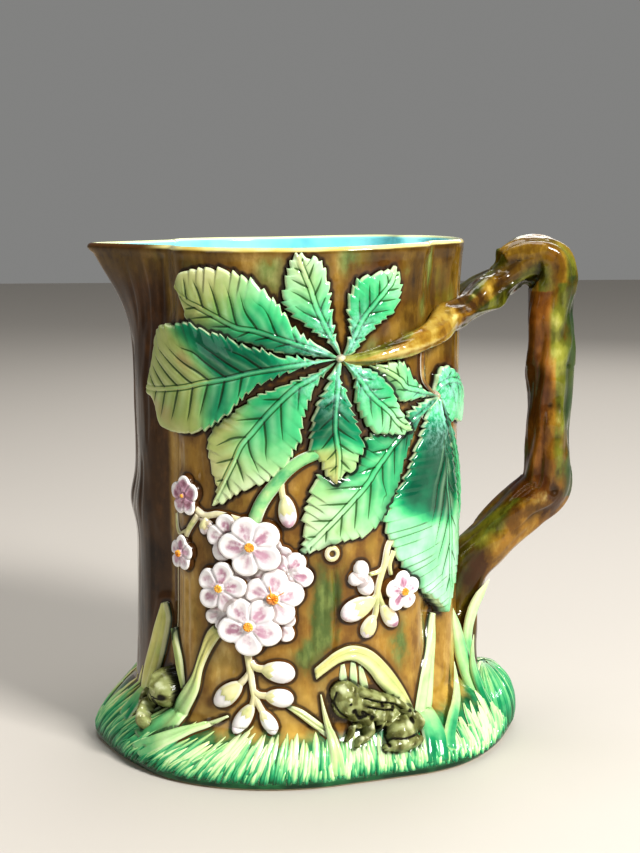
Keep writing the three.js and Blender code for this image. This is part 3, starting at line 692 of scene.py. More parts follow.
def ring_knot(u, v, r, H=1.7):
    """A raised ring round a small hollow, such as a lost twig leaves in bark."""
    na = 40; ang = np.linspace(0, 2 * math.pi, na, endpoint=False)
    prof = [(0.18, -0.5), (0.40, -0.25), (0.56, 0.7), (0.70, 1.0), (0.86, 0.97), (1.02, 0.80), (1.15, 0.45), (1.24, 0.06), (1.50, 0.02), (1.50, -0.75)]
    rr = np.array([a for a, b in prof]) * r; hh = np.array([b for a, b in prof]) * H
    U = u + rr[:, None] * np.cos(ang) * 0.92 + 0 * ang; V = v + rr[:, None] * np.sin(ang)
    h = np.broadcast_to(hh[:, None], U.shape) * (1 + 0.25 * np.sin(ang + 0.8))[None, :]
    X = lifted(U, V, h); m = len(prof); idx = np.arange(m * na).reshape(m, na); nx = np.roll(idx, -1, 1)
    c = lifted(np.array([u]), np.array([v]), np.array([-0.9])); cb = lifted(np.array([u]), np.array([v]), np.array([-2.2]))
    Vx = np.vstack([X.reshape(-1, 3), c, cb]); ci, bi = m * na, m * na + 1
    q = np.stack([idx[:-1], idx[1:], nx[1:], nx[:-1]], -1)
    O = np.vstack([normal(U, V).reshape(-1, 3), normal(np.array([u]), np.array([v])), -normal(np.array([u]), np.array([v]))])
    flip = facing(Vx, q[4].reshape(-1, 4), O)[0, 0] != q[4].reshape(-1, 4)[0, 0]
    t = lambda F: F[:, ::-1] if flip else F
    gr = np.r_[np.repeat(np.array([0, 0, 0.5, 1, 1, 1, 1, 1, 0, 0.0]), na), 0, 0]
    ed = np.r_[np.repeat(np.array([-1, -0.9, -0.5, 3, 3, 3, 3, -0.5, -1, -1.0]), na), -1, -1]
    put(flowers, Vx, [(t(q[:7].reshape(-1, 4)), 0), (t(q[7:].reshape(-1, 4)), 1), (t(np.stack([np.full(na, ci), idx[0], nx[0]], -1)), 0),
                      (t(np.stack([np.full(na, bi), nx[-1], idx[-1]], -1)), 1)], True, green=gr, edge=ed, above=np.full(len(Vx), 9.0))
    ABOVE.stamp(np.stack([U[7], V[7]], -1), 3.0)


# Order from the top layer down, so that what lies under gets painted shade beside what lies over it.
flower(-22.0, 90.6, 11.8, 38, H=4.4, tilt=(0.03, -0.03), gold=0.155)
flower(-22.6, 60.4, 11.8, 52, H=4.4, tilt=(0.0, -0.04), lil=1.0, gold=0.155)
flower(-33.6, 74.0, 10.0, 80, H=3.9, tilt=(0.05, 0.0), gold=0.16, lil=1.1)
flower(-14.2, 71.2, 11.2, 84, H=3.6, tilt=(-0.03, 0.0), gold=0.20, star=True, lil=0.9)
flower(-22.8, 77.5, 9.0, 20, H=2.7, lil=0.5, gold=0)
flower(-31.0, 92.8, 9.2, 100, H=2.5, tilt=(0.05, 0.0), lil=1.0, gold=0)
flower(-8.6, 80.0, 9.0, 60, H=2.5, tilt=(-0.05, 0.0), lil=1.2, gold=0)
flower(-15.5, 86.0, 8.6, 10, H=2.3, lil=0.7, gold=0)
flower(-13.0, 60.5, 7.5, 30, H=1.9, lil=0.5, gold=0)
flower(-34.0, 63.5, 6.6, 200, H=1.9, lil=0.6, gold=0)
flower(-49.3, 107.2, 8.0, 18, H=2.6, lil=1.2, dark=1.15, squash=0.80, gold=0.10)
flower(-51.4, 84.8, 6.8, 300, H=2.4, lil=0.9, dark=0.30, gold=0.2, squash=0.85)
flower(35.9, 70.4, 7.9, 90, H=2.9, lil=1.25, gold=0.19)
bud((-10.0, 109.6), (-8.2, 97.6), 6.6, H=3.0, calyx=0.50, pink=0.8)
bud((-18.9, 43.3), (-6.4, 41.6), 8.2, H=3.0, calyx=0.30, pink=0.25)
bud((-17.5, 33.2), (-6.9, 31.9), 7.0, H=2.8, calyx=0.28, pink=0.25)
bud((-18.8, 27.6), (-13.5, 18.9), 5.4, H=2.6, calyx=0.30, pink=0.25)
bud((-21.8, 29.8), (-28.8, 18.5), 6.0, H=2.6, calyx=0.34, pink=0.3)
bud((-26.3, 37.6), (-36.4, 28.1), 7.4, H=2.8, calyx=0.52, pink=0.3)
bud((-40.2, 99.9), (-41.2, 93.2), 4.6, H=2.2, calyx=0.6, pink=0.2)
bud((-43.0, 99.0), (-37.4, 96.2), 3.4, H=1.8, calyx=0.7, pink=0.2)
bud((24.5, 68.6), (11.2, 62.8), 8.4, H=2.8, calyx=0.55, pink=0.4)
bud((24.2, 62.4), (20.2, 54.2), 6.0, H=2.4, calyx=0.75, pink=0.3, green=0.25)
bud((27.6, 65.8), (33.8, 56.9), 6.0, H=2.4, calyx=0.5, pink=0.9)
bud((20.6, 77.0), (17.6, 83.6), 6.0, H=2.9, calyx=0.0, pink=0.25)
bud((21.4, 79.0), (14.0, 76.0), 5.6, H=2.6, calyx=0.0, pink=0.35)
bud((19.6, 79.0), (21.6, 70.6), 6.6, H=3.2, calyx=0.0, pink=0.35)

STEMS = [
    ([(-26.5, 99.5), (-35.5, 101.2), (-41.0, 100.3), (-43.7, 101.6), (-47.0, 103.6)], 1.4, 1.2, {}),
    ([(-44.0, 100.4), (-48.5, 94.3), (-51.0, 89.4)], 1.3, 1.0, dict(fill=0.2)),
    ([(-50.0, 93.2), (-54.5, 91.4), (-57.4, 93.6), (-58.6, 98.5)], 1.0, 0.7, dict(fill=0.0)),
    ([(-55.0, 91.4), (-57.4, 86.0), (-58.8, 76.0), (-59.4, 62.0), (-60.2, 48.0)], 0.55, 0.3, dict(fill=0.0, H=0.25)),
    ([(-24.0, 48.6), (-23.3, 43.7), (-22.7, 39.8), (-21.6, 33.2), (-20.6, 29.6)], 1.4, 1.1, {}),
    ([(-23.4, 46.2), (-21.0, 43.8), (-17.4, 43.2)], 1.2, 1.5, dict(shade=False)),
    ([(-21.8, 34.8), (-19.9, 33.4), (-16.3, 33.0)], 1.1, 1.4, dict(shade=False)),
    ([(-21.2, 33.0), (-20.0, 30.0), (-18.2, 26.6)], 1.1, 1.3, dict(shade=False)),
    ([(-21.6, 34.0), (-21.7, 31.7), (-22.3, 28.9)], 1.1, 1.3, dict(shade=False)),
    ([(-23.1, 42.6), (-24.6, 39.8), (-27.2, 36.8)], 1.0, 1.4, dict(shade=False)),
    ([(36.4, 104.0), (34.4, 97.6), (32.7, 92.2), (30.3, 88.0), (29.0, 82.0), (28.3, 79.7), (26.7, 75.2), (25.7, 70.6), (25.1, 63.6), (24.1, 60.6)], 1.3, 1.2, dict(shade=False)),
    ([(28.6, 80.2), (26.5, 78.9), (22.6, 78.1)], 1.0, 0.8, dict(shade=False)),
    ([(33.0, 86.0), (31.2, 81.0), (31.8, 77.0)], 1.0, 0.8, dict(shade=False)),
    ([(26.1, 72.0), (27.0, 68.4), (28.6, 64.6)], 0.9, 1.1, dict(shade=False)),
    ([(25.6, 71.0), (25.0, 69.4), (23.4, 68.2)], 0.9, 1.4, dict(shade=False)),
    ([(-9.4, 120.4), (-10.9, 117.4), (-11.2, 112.6), (-10.4, 107.6)], 1.1, 1.2, dict(shade=False)),
    ([(2.6, 125.4), (-4.3, 122.3), (-9.4, 118.4), (-14.1, 112.8), (-18.2, 107.1), (-20.8, 101.3), (-22.3, 95.4)], 2.2, 2.7, dict(shade=False, green=2.0)),
]
for pts, a, b, more in STEMS:
    stem(pts, a, b, **more)
ring_knot(7.7, 87.2, 2.5, H=1.0)

# ------------------------------------------------------------------ grass and the frogs
GRASS_ATTRS = ["gt", "gw", "ge", "gs", "above"]
grass = Bag("grass_blades", GRASS_ATTRS)
grass_far = Bag("grass_blades_far_side", GRASS_ATTRS)


def blade(Lp, Rp, H, tone, warm, fill=0.3, far=True, near_=True, nc=11, flange=0.7, step=0.9, ridge=0.5, keel=0.0, plain=False):
    """A grass blade between its two edges, both from root to tip in the design plane."""
    dense = spline(Lp, 120); n = max(int(max(length(dense), length(spline(Rp, 120))) / step), 8)
    A = spline(Lp, n); B = spline(Rp, n)
    s = np.linspace(0, 1, n)
    ts = np.linspace(-1, 1, nc)
    cols = [(-1, flange, -1.4), (-1, flange, 0.03), (-1, 0.1, 0.12)] + [(x, 0, None) for x in ts] + [(1, 0.1, 0.12), (1, flange, 0.03), (1, flange, -1.4)]
    U = np.zeros((n, len(cols))); V = U.copy(); h = U.copy(); ed = U.copy(); gt = U.copy(); gw = U.copy()
    D = unit(B - A); W = np.linalg.norm(B - A, axis=1)
    for c, (x, add, hh) in enumerate(cols):
        P = (A + B) / 2 + (B - A) / 2 * x + D * (np.sign(x) * add)
        U[:, c], V[:, c] = P[:, 0], np.maximum(P[:, 1], 0.6)
        e = (1 - abs(x)) * W / 2
        ed[:, c] = (3.0 if plain else e) if hh is None else -1.0
        if hh is None:
            r = H * (1 - 0.45 * np.exp(-e / 0.45)) * (1 - 0.45 * sstep(0.75, 1.0, s)) * (0.30 + 0.70 * sstep(0, 0.35, s)) * (1 - keel * abs(x) ** 1.4)
            r = r - 0.30 * H * np.exp(-((x) / 0.16) ** 2) * sstep(1.2, 3.0, W) + ridge * np.sin(np.abs(x) * math.pi) * np.minimum(W, 4) / 4
            h[:, c] = r
        else:
            h[:, c] = hh
        gt[:, c] = tone(s, x) ; gw[:, c] = warm(s, x)
    X = lifted(U, V, h, fill)
    X[:, :3] = lifted(U[:, :3], V[:, :3], h[:, :3]); X[:, -3:] = lifted(U[:, -3:], V[:, -3:], h[:, -3:])
    m0 = (A[0] + B[0]) / 2; m1 = (A[-1] + B[-1]) / 2
    d1 = unit(m1 - (A[-2] + B[-2]) / 2)
    p0 = lifted(m0[:1], np.maximum(m0[1:2] - 0.5, 0.5), np.array([-1.6]))[0]; q1 = m1 + d1 * 0.4
    p1 = lifted(q1[:1], q1[1:2], np.array([-1.4]))[0]
    C = len(cols); mat_of = np.zeros(C - 1, int); mat_of[[0, 1, -1, -2]] = 1
    Vx, faces = strip_body(X, normal(U, V, 0.3), p0, p1, 1, mat_of)
    S = np.broadcast_to(s[:, None], U.shape)
    z2 = lambda a: np.r_[a.ravel(), 0, 0]
    at = dict(gt=z2(gt), gw=z2(gw), ge=z2(ed), gs=z2(S), above=np.r_[ABOVE.at(U, V).ravel(), 9, 9])
    if near_:
        grass.add(Vx, faces, **at)
    if far:
        W_ = Vx.copy(); W_[:, 1] *= -1
        grass_far.add(W_, [(np.asarray(F)[:, ::-1], m) for F, m in faces], **at)
    if near_ and flange > 0.3:
        out = np.vstack([np.stack([U[:, 3], V[:, 3]], -1), np.stack([U[:, -4], V[:, -4]], -1)[::-1]])
        ABOVE.stamp(resample(out, int(length(out) / 0.4)), 5.0)


def ellipsoid(u, v, c, r, ang, h):
    a = math.radians(ang); du, dv = u - c[0], v - c[1]
    x = (du * math.cos(a) + dv * math.sin(a)) / r[0]; y = (-du * math.sin(a) + dv * math.cos(a)) / r[1]
    return h * np.sqrt(np.maximum(1 - x * x - y * y, 0)), x * x + y * y


def capsule(u, v, pts, r, h):
    best = np.full(np.shape(u), 1e9)
    P = spline(pts, 40)
    for p in P:
        best = np.minimum(best, np.hypot(u - p[0], v - p[1]))
    return h * np.sqrt(np.maximum(1 - (best / r) ** 2, 0)), (best / r) ** 2


FROG_ATTRS = ["fd", "fc", "ft"]
frogs = Bag("frogs", FROG_ATTRS)


def frog(u0, u1, v0, v1, blobs, grooves, lights, dark_spots_and_shade, fill=0.4, step=0.42, far=True):
    """A frog in relief: bumps joined softly, with incised creases; it sinks into the body outside its outline."""
    U, V = np.meshgrid(np.arange(u0, u1, step), np.arange(v0, v1, step), indexing="ij")
    k = 1.0
    acc = np.zeros_like(U)
    cover = np.zeros_like(U)
    for b in blobs:
        hh, rr = (ellipsoid(U, V, *b[1:]) if b[0] == "e" else capsule(U, V, *b[1:]))
        acc += np.where(hh > 0, np.maximum(hh, 0) ** 5, 0)
        cover = np.maximum(cover, 1 - rr)
    h = acc ** 0.2
    gd = np.zeros_like(U)
    for pts, w, d in grooves:
        best = np.full(U.shape, 1e9)
        for p in spline(pts, 30):
            best = np.minimum(best, np.hypot(U - p[0], V - p[1]))
        g = np.exp(-(best / w) ** 2)
        h = h - d * g; gd = np.maximum(gd, g)
    li = np.zeros_like(U); dk = np.zeros_like(U)
    # Painted highlights at the listed spots.
    for c, r in lights:
        li = np.maximum(li, np.exp(-((U - c[0]) ** 2 + (V - c[1]) ** 2) / r**2))
    # Dark spots: marks such as the eye, and painted shade under the body and haunch.
    for c, r in dark_spots_and_shade:
        dk = np.maximum(dk, np.exp(-((U - c[0]) ** 2 + (V - c[1]) ** 2) / r**2))
    h = h + 0.35 * (vnoise(U * 0.9, V * 0.9) - 0.5) * sstep(0.4, 1.5, h)
    h = np.where(cover > 0, h, 0) - 3.4 * sstep(0.10, -0.02, cover)
    h[0, :] = h[-1, :] = -3.6; h[:, 0] = h[:, -1] = -3.6
    X = lifted(U, V, h, fill)
    n, m = U.shape
    idx = np.arange(n * m).reshape(n, m)
    ids = np.r_[idx[0], idx[1:, -1], idx[-1, :-1][::-1], idx[1:-1, 0][::-1]]
    q = np.stack([idx[:-1, :-1], idx[1:, :-1], idx[1:, 1:], idx[:-1, 1:]], -1).reshape(-1, 4)
    cu, cv = (u0 + u1) / 2, (v0 + v1) / 2
    cb = lifted(np.array([cu]), np.array([cv]), np.array([-4.4]), fill)
    Vx = np.vstack([X.reshape(-1, 3), cb])
    O = np.vstack([normal(U, V, fill).reshape(-1, 3), -normal(np.array([cu]), np.array([cv]))])
    q2 = facing(Vx, q, O); flip = q2[0, 0] != q[0, 0]
    fan = np.stack([np.full(len(ids), n * m), ids, np.roll(ids, -1)], -1)
    fan = fan[:, ::-1] if flip else fan
    z2 = lambda a: np.r_[a.ravel(), 0]
    tone = np.clip(0.5 + 0.9 * (vnoise(U * 0.55 + 9, V * 0.55) - 0.5), 0, 1)
    # fd: painted shade in the grooves, at the dark spots and round the outline, with pooled glaze in the grooves.
    put(frogs, Vx, [(q2, 0), (fan, 0)], far, fd=z2(np.clip(np.maximum(gd, dk) + 0.9 * sstep(0.22, 0.02, cover), 0, 1)), fc=z2(li), ft=z2(tone))
    edge = np.argwhere((cover > 0.0) & (cover < 0.10))
    if len(edge):
        ABOVE.stamp(np.stack([U[edge[:, 0], edge[:, 1]], V[edge[:, 0], edge[:, 1]]], -1), 5.0)


frog(1.5, 44.5, 8.0, 42.0,
     [("e", (12.4, 33.2), (6.6, 5.4), -35, 6.0), ("e", (11.4, 29.0), (4.2, 5.2), 20, 5.6), ("e", (16.4, 28.6), (6.6, 6.6), 0, 5.8), ("e", (24.5, 26.4), (12.0, 6.4), -36, 6.3),
      ("e", (12.3, 31.2), (1.9, 1.6), 0, 6.9), ("c", [(17.6, 34.4), (22.0, 31.9), (27.4, 30.0), (33.0, 27.0), (37.4, 21.6), (39.6, 16.5)], 1.9, 7.3),
      ("c", [(18.6, 30.6), (23.2, 29.0), (28.6, 27.6)], 1.5, 7.6),
      ("e", (32.4, 15.4), (6.3, 5.2), 8, 7.8), ("e", (36.6, 19.6), (4.2, 6.0), -20, 6.2), ("e", (23, 22), (7.0, 4.6), -20, 5.0),
      ("c", [(20.0, 27.6), (22.0, 25.2)], 0.75, 7.1), ("c", [(24.9, 27.0), (24.5, 23.4)], 0.75, 7.1), ("c", [(28.4, 26.4), (27.0, 22.6)], 0.75, 7.2),
      ("c", [(31.2, 24.4), (25.3, 20.0)], 0.75, 7.0), ("c", [(32.4, 21.2), (28.0, 19.4), (23.6, 17.8)], 0.75, 6.8), ("c", [(35.4, 23.6), (33.6, 20.6)], 0.8, 7.2),
      ("c", [(18.8, 24.6), (20.6, 21.0), (20.6, 17.6)], 2.1, 6.4), ("c", [(20.6, 18.6), (18.8, 15.6), (16.2, 15.2)], 1.4, 5.6),
      ("c", [(17.0, 21.0), (14.8, 19.4), (13.6, 17.4)], 1.2, 5.0), ("c", [(16.6, 16.0), (15.2, 13.6)], 0.9, 4.6), ("c", [(14.0, 18.0), (12.2, 16.0)], 0.8, 4.4),
      ("c", [(37.5, 12.2), (31.5, 11.0), (26.0, 12.0)], 1.6, 5.6)],
     [([(26.0, 12.0), (26.0, 16.4), (28.8, 20.2), (33.4, 21.2), (38.6, 19.4)], 0.75, 2.6), ([(18.4, 32.2), (23.0, 30.3), (29.0, 28.6), (33.0, 25.6)], 0.42, 1.5),
      ([(19.0, 29.0), (24.0, 27.3), (29.0, 26.2)], 0.42, 1.0), ([(8.4, 35.0), (7.8, 31.5), (9.0, 28.0), (12.6, 24.6)], 0.42, 1.4),
      ([(14.6, 27.8), (16.2, 25.0), (18.4, 25.4)], 0.6, 1.3), ([(17.2, 27.2), (19.6, 25.6)], 0.45, 1.0), ([(22.2, 22.0), (23.0, 16.0)], 0.8, 2.0),
      ([(27.2, 14.0), (31.4, 12.9), (36.6, 13.6)], 0.4, 0.9)],
     [((10.5, 36.2), 2.0), ((20.0, 31.8), 1.2), ((24.4, 31.2), 1.4), ((30.6, 29.2), 1.3), ((33.8, 16.2), 1.9), ((21.0, 27.0), 0.9), ((24.8, 25.4), 0.9), ((28.0, 25.0), 0.9), ((28.6, 22.2), 1.0),
      ((26.6, 18.6), 1.0), ((20.4, 18.4), 1.6), ((14.6, 19.6), 1.3), ((16.2, 15.4), 1.2), ((12.9, 32.4), 0.9), ((31.0, 12.0), 1.0), ((37.0, 23.4), 0.9)],
     [((12.6, 30.9), 0.75), ((14.3, 27.6), 1.2), ((17.6, 26.6), 1.1), ((16.6, 24.6), 1.1), ((23.8, 29.2), 0.9), ((27.6, 28.0), 0.8), ((20.6, 24.4), 1.2), ((35.0, 25.0), 0.9), ((23.0, 17.8), 1.3), ((35.6, 17.4), 1.4)])
frog(-77.5, -48.5, 11.0, 39.5,
     [("e", (-61.6, 28.8), (8.4, 6.6), -52, 9.0), ("e", (-65.0, 25.6), (6.4, 5.0), 8, 8.2), ("c", [(-63.6, 34.4), (-61.8, 30.6)], 2.6, 8.2),
      ("c", [(-71.4, 25.2), (-71.0, 21.8), (-68.6, 19.2)], 1.7, 5.8), ("c", [(-67.6, 20.2), (-66.6, 17.2), (-64.2, 14.8)], 1.8, 6.6), ("e", (-63.8, 15.6), (2.2, 1.4), -30, 6.4)],
     [([(-68.4, 22.6), (-65.0, 21.6), (-61.0, 22.8)], 0.6, 1.2), ([(-70.4, 27.6), (-69.0, 24.2), (-69.4, 21.4)], 0.5, 1.4), ([(-66.0, 33.0), (-64.6, 29.6), (-61.0, 26.6), (-57.4, 26.0)], 0.35, 0.45)],
     [((-58.6, 31.6), 1.5), ((-64.4, 15.8), 1.5), ((-66.6, 19.4), 0.8)],
     [((-64.6, 24.2), 2.2), ((-60.6, 24.4), 1.8), ((-68.4, 26.4), 1.3), ((-56.8, 27.0), 1.4), ((-69.0, 21.6), 1.1)], fill=0.3)


# Big blades, from the photograph's outlines.
BLADES = {
    "G1": ([(-82.3, 14.5), (-80.3, 24.5), (-77.7, 33.7), (-74.0, 44.9), (-71.5, 53.9), (-69.0, 61.2)],
           [(-74.0, 13.5), (-73.3, 24.2), (-70.6, 30.6), (-68.6, 37.6), (-66.8, 46.0), (-65.2, 55.8), (-67.0, 61.6)]),
    "G2": ([(-53.6, 31.2), (-57.4, 42.2), (-63.0, 52.1)], [(-50.7, 31.0), (-53.2, 43.5), (-59.5, 53.3)]),
    "G3": ([(-68.8, 12.4), (-60.4, 20.0), (-51.2, 31.9), (-46.7, 38.4), (-43.2, 48.0), (-39.9, 56.3), (-33.6, 61.6)],
           [(-57.1, 8.2), (-51.1, 15.4), (-49.2, 21.5), (-44.2, 31.8), (-42.1, 41.2), (-37.8, 50.2), (-32.6, 57.6)]),
    "G4": ([(-66.1, 8.5), (-57.4, 13.5), (-49.3, 17.4), (-41.5, 20.0), (-32.0, 24.3)],
           [(-58.7, 5.0), (-52.6, 9.6), (-48.0, 13.2), (-43.4, 16.6), (-38.1, 19.2), (-31.4, 23.7)]),
    "G5": ([(37.8, 4.6), (41.1, 14.5), (42.6, 20.5), (44.9, 28.9), (48.6, 38.1), (56.8, 47.8), (61.1, 55.8)],
           [(47.0, 4.2), (50.4, 13.1), (54.2, 20.7), (57.5, 32.6), (60.6, 44.1), (62.4, 55.4)]),
    "Gc": ([(5.5, 4.5), (5.6, 10.7), (5.0, 18.4), (3.9, 25.5), (3.0, 33.4)],
           [(10.6, 4.5), (10.2, 10.6), (8.9, 16.5), (6.7, 22.4), (4.6, 29.1), (3.5, 33.4)]),
    "Gd": ([(5.4, 17.1), (0.0, 21.3), (-5.2, 25.6), (-10.0, 29.1)], [(5.9, 20.4), (0.0, 25.3), (-4.2, 28.3), (-9.4, 30.1)]),
    "arch": ([(43.0, 12.4), (40.3, 20.4), (35.5, 25.8), (30.2, 30.4), (25.4, 35.8), (22.6, 40.0), (19.3, 43.4), (15.2, 45.9), (10.5, 45.4), (6.8, 43.2), (1.6, 39.4)],
             [(45.5, 13.1), (42.6, 21.4), (39.3, 28.2), (34.8, 35.6), (29.1, 43.0), (23.8, 48.2), (19.4, 50.6), (14.1, 51.5), (8.7, 49.6), (5.0, 46.9), (0.9, 43.6)]),
    "in1": ([(10.6, 33.5), (10.2, 39.0), (10.9, 44.2)], [(13.4, 33.5), (13.2, 39.5), (12.4, 44.6)]),
    "in2": ([(14.6, 33.5), (14.4, 40.0), (14.9, 45.4)], [(17.2, 33.5), (17.3, 39.5), (16.6, 45.2)]),
    "in3": ([(18.6, 33.0), (18.2, 37.6), (18.0, 43.4)], [(22.2, 33.0), (21.2, 37.6), (19.4, 43.2)]),
}
const = lambda a: (lambda s, x: a + 0 * s)
BLADE_LOOK = {
    "G1": (1.7, lambda s, x: 0.30 + 0.25 * sstep(0.3, 0.0, s) + 0.10 * x, lambda s, x: 0.85 * sstep(0.0, 0.35, s)),
    "G2": (1.2, const(0.30), const(0.6)),
    "G3": (2.0, lambda s, x: 0.20 + 0.30 * sstep(0.35, 0.05, s) - 0.10 * x * sstep(0.5, 0.2, s), lambda s, x: 0.35 + 0.50 * sstep(0.3, 0.8, s)),
    "G4": (1.8, lambda s, x: 0.16 + 0.25 * sstep(0.4, 0.0, s), lambda s, x: 0.45 * sstep(0.2, 0.7, s)),
    "G5": (1.8, lambda s, x: 0.16 + 0.62 * sstep(0.34, 0.06, s) - 0.25 * np.exp(-((x - 0.2) / 0.35) ** 2) * sstep(0.3, 0.0, s), lambda s, x: 0.45 * sstep(0.3, 0.75, s)),
    "Gc": (1.7, lambda s, x: 0.14 + 0.20 * sstep(0.3, 0.0, s), lambda s, x: 0.30 + 0.3 * s),
    "Gd": (1.5, const(0.10), const(0.55)),
    "arch": (2.0, lambda s, x: 0.16 + 0.12 * x + 0.10 * sstep(0.2, 0.0, s), lambda s, x: 0.72 + 0.10 * x + 0 * s),
    "in1": (0.9, const(0.02), const(0.30)), "in2": (0.9, const(0.02), const(0.30)), "in3": (0.9, const(0.05), const(0.45)),
}


def tuft(u, v0, lean, length_, width, H, tone, warm, curve=0.0, far=True, near_=True, nc=5):
    """A short narrow blade from the foot: root at (u, v0), leaning by lean over its length."""
    n = 6 if length_ > 14 else 5
    s = np.linspace(0, 1, n)
    cu = u + lean * s + curve * s * (1 - s) * 4; cv = v0 + length_ * s
    w = width / 2 * np.interp(s, [0, 0.25, 0.6, 0.84, 1], [0.75, 1.0, 0.98, 0.74, 0.16])
    A = list(zip(cu - w, cv)); B = list(zip(cu + w, cv))
    blade(A, B, H, tone, warm, fill=0.3, far=far, near_=near_, nc=nc, flange=0.15, step=1.9, ridge=0.0, keel=0.72, plain=True)


# The foot's own fringe: ranks of short blades all round, leaning with the flow of the grass.
def lean_of(u):
    return np.interp(u, [-97, -90, -80, -62, -45, -30, -15, 5, 40, 52, 60, 75, 86, 97], [2, 7, 10.5, 12, 11, 6.5, 2.0, 0.6, 0.8, 3.5, 8.0, 9.0, 6.0, 1.0])


def reach_of(u):
    return np.interp(u, [-97, -88, -80, -70, -60, -45, -30, -15, 0, 16, 40, 55, 66, 80, 90, 97], [27, 27, 23, 20.5, 18.5, 16.5, 17.5, 18.5, 17.5, 16, 14, 14, 17, 22, 26, 26])


for rank in (3, 2, 1, 0):
    pitch = (1.85, 1.9, 2.1, 2.6)[rank]
    us = np.arange(-97, 92 if rank else 97, pitch) + (0, 0.9, 0.4, 1.5)[rank]
    for i, u in enumerate(us):
        j = RNG.rand(7)
        top = float((0.50, 0.70, 0.88, 1.04)[rank] * reach_of(u) * (0.78 + 0.40 * j[0]))
        v0 = (2.2, 2.6, 3.6, 5.2)[rank] + 1.2 * j[1]
        uu = float(u + 1.4 * (j[2] - 0.5))
        ln = float(lean_of(uu)) * (top - v0) / 13.0 * (0.75 + 0.5 * j[3]) + 1.6 * (j[6] - 0.5)
        left, right_ = float(sstep(-45, -75, uu)), float(sstep(74, 88, uu))
        pale = float(sstep(50, 58, uu) * sstep(80, 72, uu))
        deep = (0.40, 0.33, 0.24, 0.14)[rank] + 0.62 * (j[4] - 0.5) + 0.16 * left + 0.26 * right_ - 0.22 * pale - 0.10 * float(sstep(-45, -30, uu) * sstep(50, 40, uu))
        wm = (0.05, 0.12, 0.30, 0.55)[rank] * (1.0 if uu < 15 else 0.6) + (0.40 if rank > 1 else 0.1) * left
        tuft(uu, v0, ln, top - v0, (1.5, 1.6, 1.8, 2.1)[rank] * (0.75 + 0.6 * j[5]), (1.15, 1.05, 0.95, 0.8)[rank],
             (lambda s, x, d=deep: np.clip(d + 0.38 * sstep(0.34, 0.0, s) - 0.22 * sstep(0.35, 1.0, s) + 0.36 * abs(x) ** 2, 0, 1)), (lambda s, x, w=wm: w * sstep(0.3, 1.0, s)),
             curve=float(-0.10 * ln + 0.5 * (j[0] - 0.5)), far=(i % 3 != 2))

for name in ("G5", "Gc", "Gd", "G4", "G3", "G1", "G2", "arch", "in1", "in2", "in3"):
    H_b, tone_b, warm_b = BLADE_LOOK[name]
    blade(BLADES[name][0], BLADES[name][1], H_b, tone_b, warm_b, nc=9 if name[:2] != "in" else 5, flange=0.7 if name[:2] != "in" else 0.2, keel=0.25, step=1.1)


def ribbon(path, widths, thick, tone, warm, centre=None, far=True, back=1.0):
    """A blade that stands clear of the wall: a lens section swept along path (mm), on both sides of the handle."""
    n = 30; M = spline(path, n); w = np.interp(np.linspace(0, 1, n), np.linspace(0, 1, len(widths)), widths)
    T = unit(np.gradient(M, axis=0)); N = np.array([0.30, -1.0, 0.10]) + 0 * M if centre is None else (M - np.array(centre)) / np.array([13.5, 20.0, 18.0]) ** 2
    N = unit(N - T * (N * T).sum(1)[:, None]); W_ = np.cross(T, N)
    xs = np.linspace(-1, 1, 9); front = thick / 2 * (1 - np.abs(xs) ** 2.2) - 0.25 * thick * np.exp(-(xs / 0.18) ** 2); under = -back * thick / 2 * (1 - xs ** 2)
    X = np.concatenate([xs, xs[1:-1][::-1]]); Z = np.concatenate([front, under[1:-1][::-1]])
    P = M[:, None] + W_[:, None] * (X * 1.0)[None, :, None] * (w / 2)[:, None, None] + N[:, None] * Z[None, :, None] * np.minimum(w / max(widths), 1.0)[:, None, None]
    k = len(X); V = np.vstack([P.reshape(-1, 3), M[0] - T[0], M[-1] + T[-1]])
    idx = np.arange(n * k).reshape(n, k); nx = np.roll(idx, -1, 1)
    q = np.stack([idx[:-1], nx[:-1], nx[1:], idx[1:]], -1).reshape(-1, 4)
    q2 = facing(V, q, np.vstack([(N[:, None] * Z[None, :, None] + W_[:, None] * X[None, :, None]).reshape(-1, 3), -T[:1], T[-1:]]))
    flip = q2[0, 0] != q[0, 0] if q2.shape == q.shape else False
    a = np.stack([np.full(k, n * k), nx[0], idx[0]], -1); b = np.stack([np.full(k, n * k + 1), idx[-1], nx[-1]], -1)
    if flip:
        q, a, b = q[:, ::-1], a[:, ::-1], b[:, ::-1]
    s_ = np.broadcast_to(np.linspace(0, 1, n)[:, None], (n, k)); x_ = np.broadcast_to(X[None, :], (n, k))
    z2 = lambda c: np.r_[np.broadcast_to(c, (n, k)).ravel(), 0, 0]
    at = dict(gt=z2(tone(s_, x_)), gw=z2(warm(s_, x_)), ge=z2((1 - np.abs(x_)) * w[:, None] / 2 + 0.25), gs=z2(s_), above=np.full(len(V), 9.0))
    V[:, 2] = np.maximum(V[:, 2], 0.5)
    grass.add(V, [(q, 0), (a, 0), (b, 0)], **at)
    V2 = V.copy(); V2[:, 1] *= -1
    if far:
        grass_far.add(V2, [(q[:, ::-1], 0), (a[:, ::-1], 0), (b[:, ::-1], 0)], **at)


